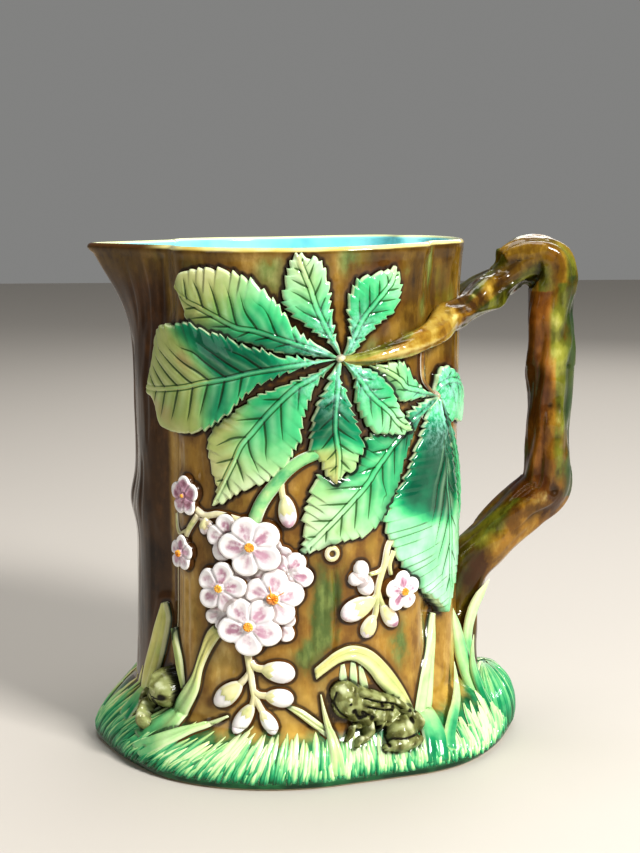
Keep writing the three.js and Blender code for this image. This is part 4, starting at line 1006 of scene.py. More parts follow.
ribbon([(77.6, -10.2, 62.4), (74.8, -10.8, 58.1), (72.0, -11.2, 53.2), (70.0, -11.6, 47.5), (68.8, -12.2, 41.6), (68.6, -13.2, 35.2), (70.4, -14.4, 27.0), (74.0, -15.4, 18.0)], [0.7, 4.2, 5.0, 4.6, 4.8, 5.0, 5.2, 5.0], 3.2,
       lambda s, x: 0.10 + 0.34 * sstep(0.30, 0.8, s) - 0.12 * x, lambda s, x: 0.30 * sstep(0.5, 0.0, s), back=1.6)
ribbon([(61.2, -19.0, 53.4), (62.4, -18.6, 47.8), (63.8, -18.0, 41.3), (65.2, -18.0, 34.9), (66.8, -18.6, 29.5), (69.2, -19.6, 23.1), (72.6, -20.6, 16.7), (77.0, -21.4, 10.6), (81.0, -21.6, 6.0)],
       [0.7, 4.0, 5.2, 6.2, 6.8, 7.0, 6.8, 6.0, 5.0], 3.4, lambda s, x: 0.10 + 0.24 * sstep(0.1, 0.7, s) + 0.22 * sstep(0.0, 0.9, -x), lambda s, x: 0.12 * sstep(0.5, 0.0, s), back=2.4)
ribbon([(70.2, -18.0, 41.4), (69.6, -18.6, 36.1), (69.6, -19.6, 30.5), (71.0, -20.8, 24.6), (73.4, -22.0, 17.9), (76.6, -23.0, 11.6), (79.6, -23.4, 7.0)], [0.5, 1.9, 2.9, 3.2, 3.0, 2.6, 2.2], 2.4,
       lambda s, x: 0.20 + 0.50 * sstep(0.15, 0.7, s), lambda s, x: 0.10 + 0 * s, back=1.6)
ribbon([(60.4, -28.4, 33.6), (61.0, -29.4, 27.2), (60.4, -34.4, 21.2), (57.2, -43.8, 15.8), (54.6, -51.6, 11.4), (54.2, -55.0, 8.0)], [0.5, 2.6, 4.4, 5.6, 6.2, 6.0], 3.0,
       lambda s, x: 0.16 + 0.44 * sstep(0.30, 0.8, s) * (1 - 0.7 * sstep(0.1, 0.9, x)), lambda s, x: 0.40 * sstep(0.2, 0.9, x) + 0 * s, back=2.0)

# A hummock of grass at the handle's root: a rounded lump under a fan of strands.
HUM_C, HUM_R = np.array([78.0, 0.0, 8.0]), np.array([12.4, 20.0, 17.4])
hp_ = np.radians(np.linspace(0, 360, 48, endpoint=False)); ht_ = np.radians(np.linspace(4, 176, 26))
HV = HUM_C + np.stack([np.sin(ht_)[:, None] * np.cos(hp_) * HUM_R[0], np.sin(ht_)[:, None] * np.sin(hp_) * HUM_R[1], np.cos(ht_)[:, None] * HUM_R[2] + 0 * hp_], -1)
HV = np.vstack([HV.reshape(-1, 3), HUM_C + [0, 0, HUM_R[2]], HUM_C - [0, 0, HUM_R[2]]]); HV[:, 2] = np.maximum(HV[:, 2], 0.5)
hi_ = np.arange(26 * 48).reshape(26, 48); hn_ = np.roll(hi_, -1, 1)
grass.add(HV, [(np.stack([hi_[:-1], hi_[1:], hn_[1:], hn_[:-1]], -1).reshape(-1, 4), 0), (np.stack([np.full(48, 26 * 48), hi_[0], hn_[0]], -1), 0),
               (np.stack([np.full(48, 26 * 48 + 1), hn_[-1], hi_[-1]], -1), 0)], gt=np.full(len(HV), 0.80), gw=np.zeros(len(HV)), ge=np.full(len(HV), 3.0), gs=np.zeros(len(HV)), above=np.full(len(HV), 9.0))
for k_, ph_ in enumerate(np.arange(-128.0, 1.0, 8.0)):
    j_ = RNG.rand(4); a_ = math.radians(ph_ + 3 * (j_[0] - 0.5)); deep_ = 0.68 + 0.40 * (j_[1] - 0.5) - 0.50 * float(sstep(-60, -115, ph_))
    top_p = math.radians(5 + 20 * j_[2])
    pts_ = []
    for t_ in np.linspace(0, 1, 7):
        ps_ = top_p + (math.radians(106) - top_p) * t_; aa_ = a_ - math.radians(26) * (1 - t_) ** 1.5
        pts_.append(tuple(HUM_C + 1.015 * HUM_R * np.array([math.sin(ps_) * math.cos(aa_), math.sin(ps_) * math.sin(aa_), math.cos(ps_)])))
    ribbon(pts_, [0.8, 2.2, 2.9, 3.2, 3.0, 2.6], 1.9, lambda s, x, d=deep_: np.clip(d + 0.25 * sstep(0.5, 1.0, s) - 0.22 * np.exp(-(x / 0.5) ** 2) * sstep(1.0, 0.2, s), 0, 1),
           lambda s, x: 0.10 * sstep(0.5, 0.0, s), centre=HUM_C, far=ph_ < -2)

# Leaflets last of the raised relief: the topmost leaf first.
for name, look in TOP_ORDER:
    leaflet(name, *LEAFLETS[name], **look)

# Two small bosses where the leaflets meet, and a short twig running down to the lower boss.
stem([(46.6, 162.0), (46.2, 156.4), (47.2, 150.0), (52.0, 146.0), (58.0, 143.2)], 1.0, 0.8, H=0.7, green=3.0)
bud((12.4, 160.6), (8.8, 159.6), 2.8, H=3.4, calyx=0.0, pink=0.0, green=2.0)
bud((58.8, 144.6), (57.6, 141.0), 3.2, H=3.6, calyx=0.0, pink=0.0, green=2.0)
for line_ in LATER:                                 # the stalks that run out from under a leaf
    ABOVE.stamp(line_)


# ------------------------------------------------------------------ the handle: a forked branch
def tube(path, radii, sides=28):
    """A closed tube along path (mm), its radius following radii."""
    n = max(int(length(spline(path, 200)) / 1.2), 8)
    M = spline(path, n)
    k = np.r_[0, np.cumsum(np.linalg.norm(np.diff(np.array(path, float), axis=0), axis=1))]; k = k / k[-1]
    r = np.interp(np.linspace(0, 1, n), k, radii)
    T = unit(np.gradient(M, axis=0)); ref = np.array([0, 1.0, 0.02])
    A = unit(np.cross(T, ref)); B = np.cross(T, A)
    ang = np.linspace(0, 2 * math.pi, sides, endpoint=False)
    P = M[:, None] + r[:, None, None] * (A[:, None] * np.cos(ang)[None, :, None] + B[:, None] * np.sin(ang)[None, :, None])
    V = np.vstack([P.reshape(-1, 3), M[0] - T[0] * r[0] * 0.5, M[-1] + T[-1] * r[-1] * 0.5])
    idx = np.arange(n * sides).reshape(n, sides); nx = np.roll(idx, -1, 1)
    q = np.stack([idx[:-1], nx[:-1], nx[1:], idx[1:]], -1).reshape(-1, 4)
    a = np.stack([np.full(sides, n * sides), nx[0], idx[0]], -1); b = np.stack([np.full(sides, n * sides + 1), idx[-1], nx[-1]], -1)
    return V, q, np.vstack([a, b]), M


BAR = [(62, 0, 38), (66.5, 0, 52), (70.5, 0, 65.5), (81.5, 0, 78.5), (94.5, 0, 91.6), (102.4, 0, 99), (103.5, 0, 112), (103.2, 0, 130),
       (103.7, 0, 150), (103.6, 0, 170), (104, 0, 184), (101.5, 0, 192.5), (92, 0, 193.4), (84, 0, 190)]
BAR_R = [6, 8.6, 9.8, 9.6, 9.6, 10.2, 9.8, 9.3, 9.6, 9.3, 10.0, 10.0, 9.4, 7.8]


def on_body(th, z, lift):
    r = float(outer(th, z)) + lift; a = math.radians(th)
    return (r * math.cos(a), r * math.sin(a), z)


ARM = [(96, 0, 193.6), (89, -1, 188.8), (82.7, -3, 184.0), (75.2, -8.5, 179.5), (65.8, -17, 174.6), (54.9, -29.2, 170.9),
       on_body(-43.5, 166.8, 2.0), on_body(-58, 162.9, 1.2), on_body(-71, 159.7, 0.8), on_body(-79.5, 158.9, 0.3)]
ARM_R = [8.6, 7.6, 6.7, 7.4, 5.4, 6.6, 5.0, 3.9, 2.9, 1.8]
ROOT = [(64, 0, 48), (65.5, 0, 38), (67.5, 0, 28), (71, 0, 16), (75, 0, 6)]
TUBES = [(BAR, BAR_R), ([(100, 0, 188.6), (105.0, -0.6, 193.6), (108.4, -1.0, 196.0)], [7.8, 7.0, 5.6]), (ARM, ARM_R),
         ([(x, -y, z) for x, y, z in ARM], ARM_R), (ROOT, [10.2, 8.8, 7.0, 5.5, 4]),
         ([(99.0, 0, 95.0), (105.0, 0, 96.2), (108.6, 0, 96.8)], [8.8, 7.4, 5.0]),          # knuckle at the lower bend
         ([(99.0, -3.0, 96.0), (100.5, -7.6, 99.0)], [6.4, 4.6]), ([(99.0, 3.0, 96.0), (100.5, 7.6, 99.0)], [6.4, 4.6])]
for sgn in (1, -1):
    TUBES += [([(75.6, -9.0 * sgn, 179.4), (74.2, -14.6 * sgn, 181.4)], [6.2, 3.6]), ([(70.0, -13.0 * sgn, 177.6), (68.0, -17.6 * sgn, 179.8)], [4.6, 2.4]),
              ([(54.9, -29.2 * sgn, 170.9), (54.6, -33.6 * sgn, 171.6)], [5.0, 3.4]), ([(60.0, -24.0 * sgn, 172.0), (59.6, -26.5 * sgn, 168.6)], [3.6, 2.4]),
              ([(86.0, -2.0 * sgn, 188.0), (84.6, -6.0 * sgn, 191.6)], [5.4, 3.4]), ([(103.6, 0.0, 178.0), (103.0, -6.0 * sgn, 179.6)], [6.8, 4.4])]
hv, hf, off, axis_pts, axis_len = [], [], 0, [], []
for path, radii in TUBES:
    V, q, tri, M = tube(path, radii)
    hv.append(V); hf += [tuple(int(i) + off for i in f) for f in q] + [tuple(int(i) + off for i in f) for f in tri]
    off += len(V)
    if len(path) > 6:
        M2 = spline(path, 260); axis_pts.append(M2); axis_len.append(np.r_[0, np.cumsum(np.linalg.norm(np.diff(M2, axis=0), axis=1))] + 400 * len(axis_len))
me = bpy.data.meshes.new("handle_raw"); me.from_pydata([tuple(v) for v in (np.vstack(hv) / 1000.0)], [], hf)
raw = bpy.data.objects.new("handle_raw", me); bpy.context.scene.collection.objects.link(raw)
rm = raw.modifiers.new("vox", "REMESH"); rm.mode = "VOXEL"; rm.voxel_size = 0.00085
sm = raw.modifiers.new("smooth", "SMOOTH"); sm.factor = 0.5; sm.iterations = 9
dg = bpy.context.evaluated_depsgraph_get(); ev = raw.evaluated_get(dg); em = ev.to_mesh()
hP = np.zeros(len(em.vertices) * 3, np.float32); em.vertices.foreach_get("co", hP); hP = hP.reshape(-1, 3).astype(float) * 1000
hN = np.zeros(len(em.vertices) * 3, np.float32); em.vertices.foreach_get("normal", hN); hN = hN.reshape(-1, 3).astype(float)
ls = np.zeros(len(em.polygons), np.int32); em.polygons.foreach_get("loop_start", ls)
lt = np.zeros(len(em.polygons), np.int32); em.polygons.foreach_get("loop_total", lt)
lv = np.zeros(len(em.loops), np.int32); em.loops.foreach_get("vertex_index", lv)
hQ = lv[ls[lt == 4][:, None] + np.arange(4)]; hT = lv[ls[lt == 3][:, None] + np.arange(3)]
ev.to_mesh_clear(); bpy.data.objects.remove(raw)
AX = np.vstack(axis_pts); AL = np.concatenate(axis_len)
near_i = np.zeros(len(hP), int)
for i in range(0, len(hP), 4000):
    near_i[i:i + 4000] = np.argmin(((hP[i:i + 4000, None] - AX[None]) ** 2).sum(-1), 1)
along = AL[near_i]; D = hP - AX[near_i]; Tn = unit(np.gradient(AX, axis=0))[near_i]
yv = np.array([0, 1.0, 0]); e1 = unit(np.cross(Tn, yv)); phi = np.arctan2((D * yv).sum(1), (D * e1).sum(1))
dist = np.linalg.norm(D, axis=1)
# bark: long ridges along the branch, a few swellings and eyes
px, py = np.cos(phi), np.sin(phi)
n1 = vnoise(px * 2.2 + along * 0.035 + 20, py * 2.2 + 5) + 0.5 * vnoise(px * 4.6 + along * 0.06, py * 4.6 + 30)
n2 = vnoise(px * 1.3 + 3, along * 0.055 + py * 1.3)
n3 = vnoise(px * 1.9 + along * 0.09 + 51, py * 1.9 + along * 0.02 + 9)
disp = 1.35 * (n1 - 0.75) + 2.0 * (n2 - 0.5) + (1.7 + 0.9 * (hP[:, 2] > 150)) * (n3 - 0.55)
ridge = np.abs(np.sin(phi * 3.0 + along * 0.02 + 2.2 * vnoise(along * 0.03, px + 7)))
disp -= 0.35 * np.exp(-(ridge / 0.22) ** 2)
marks = np.zeros(len(hP)); pits = np.zeros(len(hP))
for c, r, d in (((102.6, -8.2, 168.5), 4.2, 1.0), ((74.0, -17.0, 182.0), 3.2, 1.0), ((103, -8.6, 128), 5.0, 0.9), ((98.0, -8.5, 96.5), 6.0, 1.2), ((104.6, -7.0, 143.0), 3.4, 0.9), ((99.8, -7.4, 151.0), 3.0, 0.7),
                ((54.6, -35.4, 171.8), 3.2, 1.0), ((102.4, 8.2, 150), 5.0, 0.8), ((81.0, -9.0, 77.0), 6.0, 1.0), ((110.6, -2.0, 195.6), 4.6, 0.9), ((90.0, -8.0, 86.0), 4.4, 1.0), ((106.4, -6.6, 112.0), 3.8, 1.0),
                ((74.0, 17.0, 182.0), 3.2, 0.9), ((54.6, 35.4, 171.8), 3.2, 0.9), ((90.0, 8.0, 86.0), 4.4, 1.0), ((68.0, -20.0, 179.0), 2.4, 0.8)):
    w = np.linalg.norm(hP - np.array(c), axis=1)
    disp += 1.35 * d * np.exp(-(w / r) ** 2); marks = np.maximum(marks, np.exp(-(w / (0.8 * r)) ** 2))
for c, r, d in (((54.2, -36.6, 173.4), 1.1, 1.4), ((113.4, -2.6, 196.4), 2.5, 2.0), ((104.0, -9.4, 99.5), 1.5, 1.2), ((71.4, -20.6, 182.0), 1.0, 0.9), ((75.4, -19.2, 184.0), 1.2, 1.1), ((60.2, -29.4, 174.4), 1.4, 0.9),
                ((61.4, -26.0, 168.6), 1.6, 1.0), ((104.4, -8.6, 121.0), 1.0, 1.0), ((97.6, -6.8, 186.0), 2.2, 1.0), ((102.0, -9.0, 134.0), 0.9, 0.8), ((105.0, -7.4, 160.0), 1.2, 0.8), ((54.2, 36.6, 173.4), 1.1, 1.2)):
    w = np.linalg.norm(hP - np.array(c), axis=1)
    disp -= d * np.exp(-(w / r) ** 2); pits = np.maximum(pits, np.exp(-(w / (1.25 * r)) ** 2))
fade_in = sstep(1.0, 4.0, dist)
hP2 = hP + hN * (disp * np.minimum(dist / 9.0, 1.0) * np.where((hP[:, 2] > 150) & (hP[:, 0] < 100), 1.15, 0.95))[:, None]
th_h = np.degrees(np.arctan2(hP2[:, 1], hP2[:, 0])); r_h = np.hypot(hP2[:, 0], hP2[:, 1]); z_h = np.clip(hP2[:, 2], 4.0, 200.0)
t_h = trunk(th_h, z_h); r_min = t_h + 0.35 * np.maximum(outer(th_h, z_h) - t_h, 0) - (5.0 - 1.5 * sstep(176, 196, z_h)) + 1.2
push = np.maximum(r_min / np.maximum(r_h, 1.0), 1.0); hP2[:, 0] *= push; hP2[:, 1] *= push
# pooled brown in the hollows, green on the outer side and on parts of the upright
hol = np.clip(0.75 * sstep(0.0, -1.7, disp) + pits, 0, 1)
inner = sstep(0.0, -0.75, px)                        # the hand's side of the upright and the underside of the arms
up_r = (hP[:, 2] > 96) & (hP[:, 0] > 88)
green = np.clip(0.85 * sstep(0.50, 0.72, vnoise(px * 1.2 + 40, along * 0.045 + py * 1.2)) + 0.55 * sstep(-0.1, 0.8, px) * sstep(0.30, 0.55, vnoise(along * 0.05 + 11, py * 2)) + 0.30 * (hP[:, 2] > 150), 0, 1)
xw = hP[:, 0] - np.where(up_r, 103.3, hP[:, 0])
# On the upright the side towards the body is red-brown and darker, the outer edge dark green: glaze colour with painted
# shade on both sides.
red_glaze_and_side_shade = np.where(up_r & (hP[:, 2] < 180), sstep(0.8, -3.0, xw + 1.5 * (n2 - 0.5)), 0) + np.where(~up_r & (hP[:, 2] < 96), 0.30, 0)
green = np.maximum(green * (1 - 0.8 * red_glaze_and_side_shade), np.where(up_r & (hP[:, 2] < 184), 0.85 * sstep(-1.0, 2.0, xw + 1.5 * (n2 - 0.5)) * sstep(96, 112, hP[:, 2]), 0))
green_edge_and_side_shade = np.where(up_r & (hP[:, 2] < 186), sstep(3.0, 7.0, xw), 0)
arm_ = (hP[:, 2] > 152) & (hP[:, 0] < 92)
# Painted highlight on the raised bark, the knots and the upper arm near the body.
branch_highlight = np.clip(np.where(arm_, 0.68, 0.32) * sstep(0.2, 2.2, disp) + np.where(arm_, 0.55, 0.25) * marks + 0.45 * arm_ * sstep(70, 30, hP[:, 0]), 0, 1)
handle = Bag("branch_handle", ["hg", "hd", "hl", "hz", "hr", "he"])
handle.add(hP2, [(hQ, 0), (hT, 0)], hg=green, hd=hol, hl=branch_highlight, hz=hP[:, 2] / 200.0, hr=red_glaze_and_side_shade, he=green_edge_and_side_shade)
print("handle vertices", len(hP2), flush=True)


# ------------------------------------------------------------------ the body: wall, foot, rim and inside
GREENS = [(4.0, 63, 5.6, 24, 1.0), (9.8, 66, 3.4, 16, 0.9), (12.0, 72, 2.4, 11, 0.6), (-1.0, 48, 7.5, 10, 0.8), (6.0, 45, 6, 6, 0.5), (36.0, 50, 5.4, 11, 0.85), (32.0, 58, 4.6, 8, 0.5), (40, 44, 4, 6, 0.5),
          (56.5, 44, 4.6, 16, 0.9), (-46.0, 192, 9, 5, 0.5), (-30.0, 188, 7, 6, 0.5), (-14.0, 190, 7, 8, 0.9), (3.0, 192, 4, 8, 0.6), (14.0, 196, 5, 7, 0.8), (38.0, 188, 6, 10, 0.5), (48.0, 180, 4, 12, 0.6),
          (57.0, 192, 3, 11, 0.8), (52, 194, 8, 5, 0.6), (71.0, 172, 3.5, 20, 0.45), (-24, 176, 6, 7, 0.5), (72.0, 78, 3, 14, 0.5), (-38.0, 74, 3, 12, 0.3), (-5.0, 36, 5, 4, 0.3), (-52.0, 118, 3, 10, 0.35), (40, 165, 7, 5, 0.6),
          (-42.0, 46, 5, 7, 0.45), (12, 58, 4, 5, 0.5), (22, 164, 5, 5, 0.5), (-5, 100, 5, 4, 0.35)]
# Dark glaze patches, with painted shade over the spout side and down the notch beside it.
DARKS_AND_SPOUT_SHADE = [(-68.5, 120, 3.0, 90, 1.0), (-63.0, 60, 2.8, 34, 0.8), (-80.0, 110, 10.0, 95, 1.0), (-92.0, 110, 9.0, 95, 1.0), (24, 192, 6, 12, 0.7), (70.5, 110, 2.6, 45, 0.5), (-58, 84, 3, 20, 0.35), (10, 28, 8, 5, 0.4),
         (44, 168, 8, 4, 0.6), (-8.0, 186, 3, 14, 0.5), (28, 172, 3, 14, 0.6), (16, 102, 8, 4, 0.35), (-60.0, 190, 4, 12, 0.5), (66, 186, 4, 14, 0.5), (33, 196, 7, 5, 0.5), (-38, 200, 14, 4, 0.35), (70, 60, 3, 18, 0.4), (54, 178, 11, 15, 0.45), (40, 194, 10, 6, 0.35), (-50, 196, 10, 6, 0.4)]


def blob(U, V, rows):
    a = np.zeros_like(U)
    for u, v, ru, rv, k in rows:
        a = np.maximum(a, k * np.exp(-((U - u) / ru) ** 2 - ((V - v) / rv) ** 2))
    return a


def bark(U, V, near_):
    """Shallow upright waves in the bark, only sunk below the surface and only clear of the relief."""
    w = vnoise(U * 0.16 + 3, V * 0.022 + 7) + 0.5 * vnoise(U * 0.34 + 17, V * 0.045) + 0.25 * vnoise(U * 0.8, V * 0.11 + 5)
    d = 0.75 * (w / 1.75 - 0.78) - 0.45 * sstep(0.60, 0.75, vnoise(U * 0.42 + 31, V * 0.028 + 2))
    g = np.exp(-((U - 8.6 - 0.9 * np.sin(V * 0.12)) / 0.75) ** 2) * sstep(46, 56, V) * sstep(83.5, 80, V) * 1.4
    g = g + np.exp(-((U - 5.2 - 0.5 * np.sin(V * 0.16 + 1)) / 0.5) ** 2) * sstep(58, 64, V) * sstep(80, 76, V) * 0.6
    dash = np.zeros_like(U)
    for u, v, l in ((-38.6, 25.1, 2.2), (39.1, 157.8, 2.4), (-41.0, 52.0, 3.0), (22.0, 47.5, 2.0), (-7.0, 103.0, 2.0), (-51.0, 66.0, 2.4), (20.5, 100.5, 1.8), (55.0, 172.0, 4.0), (49.0, 186.0, 5.0), (19.0, 199.0, 4.0)):
        dash = np.maximum(dash, np.exp(-((U - u) / 0.4) ** 2 - ((V - v) / l) ** 2))
    return np.minimum(d, 0) * sstep(1.6, 5.0, near_) * sstep(22, 40, V) - g * sstep(0.5, 1.5, near_) - 0.5 * dash


NF, NB = 270, 130
TH = np.r_[np.linspace(-180, 0, NF, endpoint=False), np.linspace(0, 180, NB, endpoint=False)]
BODY_ATTRS = ["near", "green", "dark", "high", "rim", "skirt", "side"]
pot = Bag("trunk_body", BODY_ATTRS)
Ub = KU * (-np.abs(TH) + 90); zr = z_rim(TH); zs = skirt_h(TH)
cosT, sinT = np.cos(np.radians(TH)), np.sin(np.radians(TH))
rowsP, rowsA, kinds = [], [], []


def ring_row(r, z, kind, z_design=None):
    rowsP.append(np.stack([r * cosT, r * sinT, z + 0 * TH], -1))
    V = np.broadcast_to(z if z_design is None else z_design, TH.shape).astype(float)
    nr_ = ABOVE.at(Ub, V)
    # dark: glaze patches and painted shade on the spout side.
    rowsA.append(dict(near=nr_ if kind == "out" else 9 + 0 * TH, green=blob(Ub, V, GREENS) if kind == "out" else 0 * TH,
                      dark=np.maximum(blob(Ub, V, DARKS_AND_SPOUT_SHADE), 0.95 * sstep(-62.5, -68.5, Ub) * sstep(212, 170, V)) if kind == "out" else 0 * TH, high=V, rim=zr - (z + 0 * TH), skirt=V / zs, side=cosT))
    kinds.append(kind)


r_foot = outer(TH, 0 * TH)
ring_row(r_foot * 0 + 0.0, 3.0, "under")                                     # middle of the recess
for f in (0.25, 0.5, 0.75, 0.92):
    ring_row((r_foot - 10.2) * f, 3.0, "under")
ring_row(r_foot - 9.8, 2.9, "under"); ring_row(r_foot - 9.3, 2.2, "under"); ring_row(r_foot - 9.0, 0.9, "under"); ring_row(r_foot - 8.5, 0.15, "under")
ring_row(r_foot - 7.9, 0.0, "under"); ring_row(r_foot - 1.0, 0.0, "under")
zo = np.r_[0.25, 0.8, 1.5, 2.4, 3.4, 4.6, 6.0, 7.6, 9.4, 11.4, 13.6, 16.0, 18.6, 21.4, np.linspace(24.0, 196.0, 118)]
for z in zo:
    V = z + 0 * TH
    nr_ = ABOVE.at(Ub, V)
    r = outer(TH, V) + bark(Ub, V, nr_)
    ring_row(r, z, "out")
r196 = outer(TH, 196 + 0 * TH) + bark(Ub, 196 + 0 * TH, ABOVE.at(Ub, 196 + 0 * TH)) * 0.5
lip_h = zr - 1.75 - 196
for t in (0.35, 0.7, 1.0):
    ring_row(outer(TH, 196 + lip_h * t) + 0.10 * sstep(0, 1, t), 196 + lip_h * t, "out")
r_lip = outer(TH, 196 + lip_h) + 0.10
WALL = 3.5
for a in np.linspace(15, 165, 9):
    aa = math.radians(a)
    ring_row(r_lip - WALL / 2 + WALL / 2 * math.cos(aa), 196 + lip_h + 1.75 * math.sin(aa), "out" if a < 100 else "in")


def inner_r(th, z):
    t = trunk(th, z); w = 5.0 - 1.5 * sstep(176, 196, z)
    return t + 0.35 * np.maximum(outer(th, z) - t, 0) - w


zi_top = 196 + lip_h
for t in np.linspace(0, 1, 46):
    zz = zi_top + (17.0 - zi_top) * t
    r = inner_r(TH, zz)
    k = sstep(190, 198.5, zz)
    r = r * (1 - k) + (r_lip - WALL) * k
    ring_row(r, zz, "in")
rb = inner_r(TH, 17.0 + 0 * TH)
for a in (18, 36, 54, 72, 90):
    aa = math.radians(a)
    ring_row(rb - 8 * (1 - math.cos(aa)), 17 - 8 * math.sin(aa), "in")
for f in (0.75, 0.5, 0.25, 0.0):
    ring_row((rb - 8) * f, 9.0, "in")
P = np.stack(rowsP); A = {k: np.stack([a[k] for a in rowsA]) for k in BODY_ATTRS}
R_, C_ = P.shape[:2]
# the first and last rows are single points
Vb = np.vstack([P[0, :1], P[1:-1].reshape(-1, 3), P[-1, :1]])
ix = lambda i: 1 + (i - 1) * C_ + np.arange(C_)
fr, mats_of = [], []
for i in range(1, R_ - 2):
    a, b = ix(i), ix(i + 1)
    fr.append(np.stack([a, np.roll(a, -1), np.roll(b, -1), b], -1)); mats_of.append({"under": 2, "out": 0, "in": 1}[kinds[i + 1] if kinds[i] == "under" and kinds[i + 1] == "out" else kinds[i + 1]])
bot = np.stack([np.zeros(C_, int), np.roll(ix(1), -1), ix(1)], -1)
last = len(Vb) - 1
top_ = np.stack([np.full(C_, last), ix(R_ - 2), np.roll(ix(R_ - 2), -1)], -1)
flat = {k: np.r_[v[0, :1], v[1:-1].ravel(), v[-1, :1]] for k, v in A.items()}
pot.add(Vb, [(F, m) for F, m in zip(fr, mats_of)] + [(bot, 2), (top_, 1)], **flat)


# ------------------------------------------------------------------ glazes
def C(r, g, b):
    f = lambda c: c / 12.92 if c <= 0.04045 else ((c + 0.055) / 1.055) ** 2.4
    return (f(r / 255.0), f(g / 255.0), f(b / 255.0), 1.0)


class Glaze:
    """A small helper that builds one glaze out of nodes."""

    def __init__(s, name, rough=0.28, coat=1.0, coat_rough=0.035, spec=0.10):
        s.m = bpy.data.materials.new(name); s.m.use_nodes = True
        s.t = s.m.node_tree; s.t.nodes.clear()
        s.out = s.t.nodes.new("ShaderNodeOutputMaterial"); s.b = s.t.nodes.new("ShaderNodeBsdfPrincipled")
        s.b.inputs["Roughness"].default_value = rough
        s.b.inputs["Specular IOR Level"].default_value = spec
        s.b.inputs["Coat Weight"].default_value = coat * 0.9
        s.b.inputs["Coat Roughness"].default_value = coat_rough
        s.b.inputs["Coat IOR"].default_value = 1.43
        s.t.links.new(s.b.outputs[0], s.out.inputs[0])
        s.tc = s.t.nodes.new("ShaderNodeTexCoord")

    def put(s, sock, v):
        if hasattr(v, "is_linked") or hasattr(v, "links"):
            s.t.links.new(v, sock)
        else:
            sock.default_value = v

    def attr(s, name):
        n = s.t.nodes.new("ShaderNodeAttribute"); n.attribute_name = name
        return n.outputs["Fac"]

    def math(s, op, a, b=0.0, c=None, clamp=False):
        n = s.t.nodes.new("ShaderNodeMath"); n.operation = op; n.use_clamp = clamp
        s.put(n.inputs[0], a); s.put(n.inputs[1], b)
        if c is not None:
            s.put(n.inputs[2], c)
        return n.outputs[0]

    def step(s, x, lo, hi, a=0.0, b=1.0):
        n = s.t.nodes.new("ShaderNodeMapRange"); n.interpolation_type = "SMOOTHSTEP"
        if lo > hi:
            lo, hi, a, b = hi, lo, b, a
        s.put(n.inputs[0], x); n.inputs[1].default_value = lo; n.inputs[2].default_value = hi
        n.inputs[3].default_value = a; n.inputs[4].default_value = b
        return n.outputs[0]

    def ramp(s, fac, stops, interp="EASE"):
        n = s.t.nodes.new("ShaderNodeValToRGB"); n.color_ramp.interpolation = interp
        el = n.color_ramp.elements
        while len(el) < len(stops):
            el.new(0.5)
        for e, (p, c) in zip(el, stops):
            e.position = p
        for e, (p, c) in zip(el, stops):
            e.color = c
        s.put(n.inputs[0], fac)
        return n.outputs["Color"]

    def mix(s, fac, a, b, mode="MIX"):
        n = s.t.nodes.new("ShaderNodeMix"); n.data_type = "RGBA"; n.blend_type = mode
        s.put(n.inputs[0], fac); s.put(n.inputs[6], a); s.put(n.inputs[7], b)
        return n.outputs[2]

    def noise(s, scale, detail=3.0, rough=0.55, stretch=(1, 1, 1), distort=0.0, shift=(0, 0, 0)):
        mp = s.t.nodes.new("ShaderNodeMapping"); mp.inputs["Scale"].default_value = stretch; mp.inputs["Location"].default_value = shift
        s.t.links.new(s.tc.outputs["Object"], mp.inputs["Vector"])
        n = s.t.nodes.new("ShaderNodeTexNoise")
        n.inputs["Scale"].default_value = scale; n.inputs["Detail"].default_value = detail
        n.inputs["Roughness"].default_value = rough; n.inputs["Distortion"].default_value = distort
        s.t.links.new(mp.outputs[0], n.inputs["Vector"])
        return n.outputs["Fac"]

    def bump(s, height, dist=0.0004, strength=0.5):
        n = s.t.nodes.new("ShaderNodeBump"); n.inputs["Strength"].default_value = strength; n.inputs["Distance"].default_value = dist
        s.t.links.new(height, n.inputs["Height"])
        s.t.links.new(n.outputs[0], s.b.inputs["Normal"]); s.t.links.new(n.outputs[0], s.b.inputs["Coat Normal"])

    def done(s, colour):
        s.put(s.b.inputs["Base Color"], colour)
        return s.m


def ripple(g, scale=260.0, strength=0.10, dist=0.0003):
    """The slight unevenness of a thick fired glaze."""
    n = g.math("ADD", g.noise(scale, 1.5, 0.5), g.math("MULTIPLY", g.noise(scale * 0.3, 1.0, 0.5), 2.0))
    g.bump(n, dist, strength)


# Leaf glaze
g = Glaze("leaf_glaze", rough=0.30, coat_rough=0.03)
tone = g.math("ADD", g.attr("tone"), g.math("MULTIPLY", g.math("SUBTRACT", g.noise(85.0, 3.0), 0.5), 0.60))
along_ = g.attr("cs")
tone = g.math("SUBTRACT", tone, g.step(along_, 0.40, 1.0, 0.0, 0.15)); tone = g.math("ADD", tone, g.step(along_, 0.42, 0.05, 0.0, 0.14))
warm = g.math("ADD", g.attr("warm"), g.math("MULTIPLY", g.math("SUBTRACT", g.noise(70.0, 3.0, shift=(3, 1, 2)), 0.5), 0.45), clamp=False)
warm = g.math("ADD", warm, g.step(along_, 0.55, 1.0, 0.0, 0.16))
green_ = g.ramp(tone, [(0.0, C(188, 240, 206)), (0.20, C(140, 220, 160)), (0.42, C(70, 186, 120)), (0.66, C(10, 134, 90)), (1.0, C(0, 80, 56))], "LINEAR")
olive = g.ramp(tone, [(0.0, C(212, 214, 152)), (0.35, C(166, 180, 102)), (0.7, C(104, 146, 70)), (1.0, C(56, 106, 54))], "LINEAR")
col = g.mix(g.step(warm, 0.15, 0.95), green_, olive)
tan = g.step(g.noise(55.0, 2.0, shift=(7, 5, 1)), 0.52, 0.72)
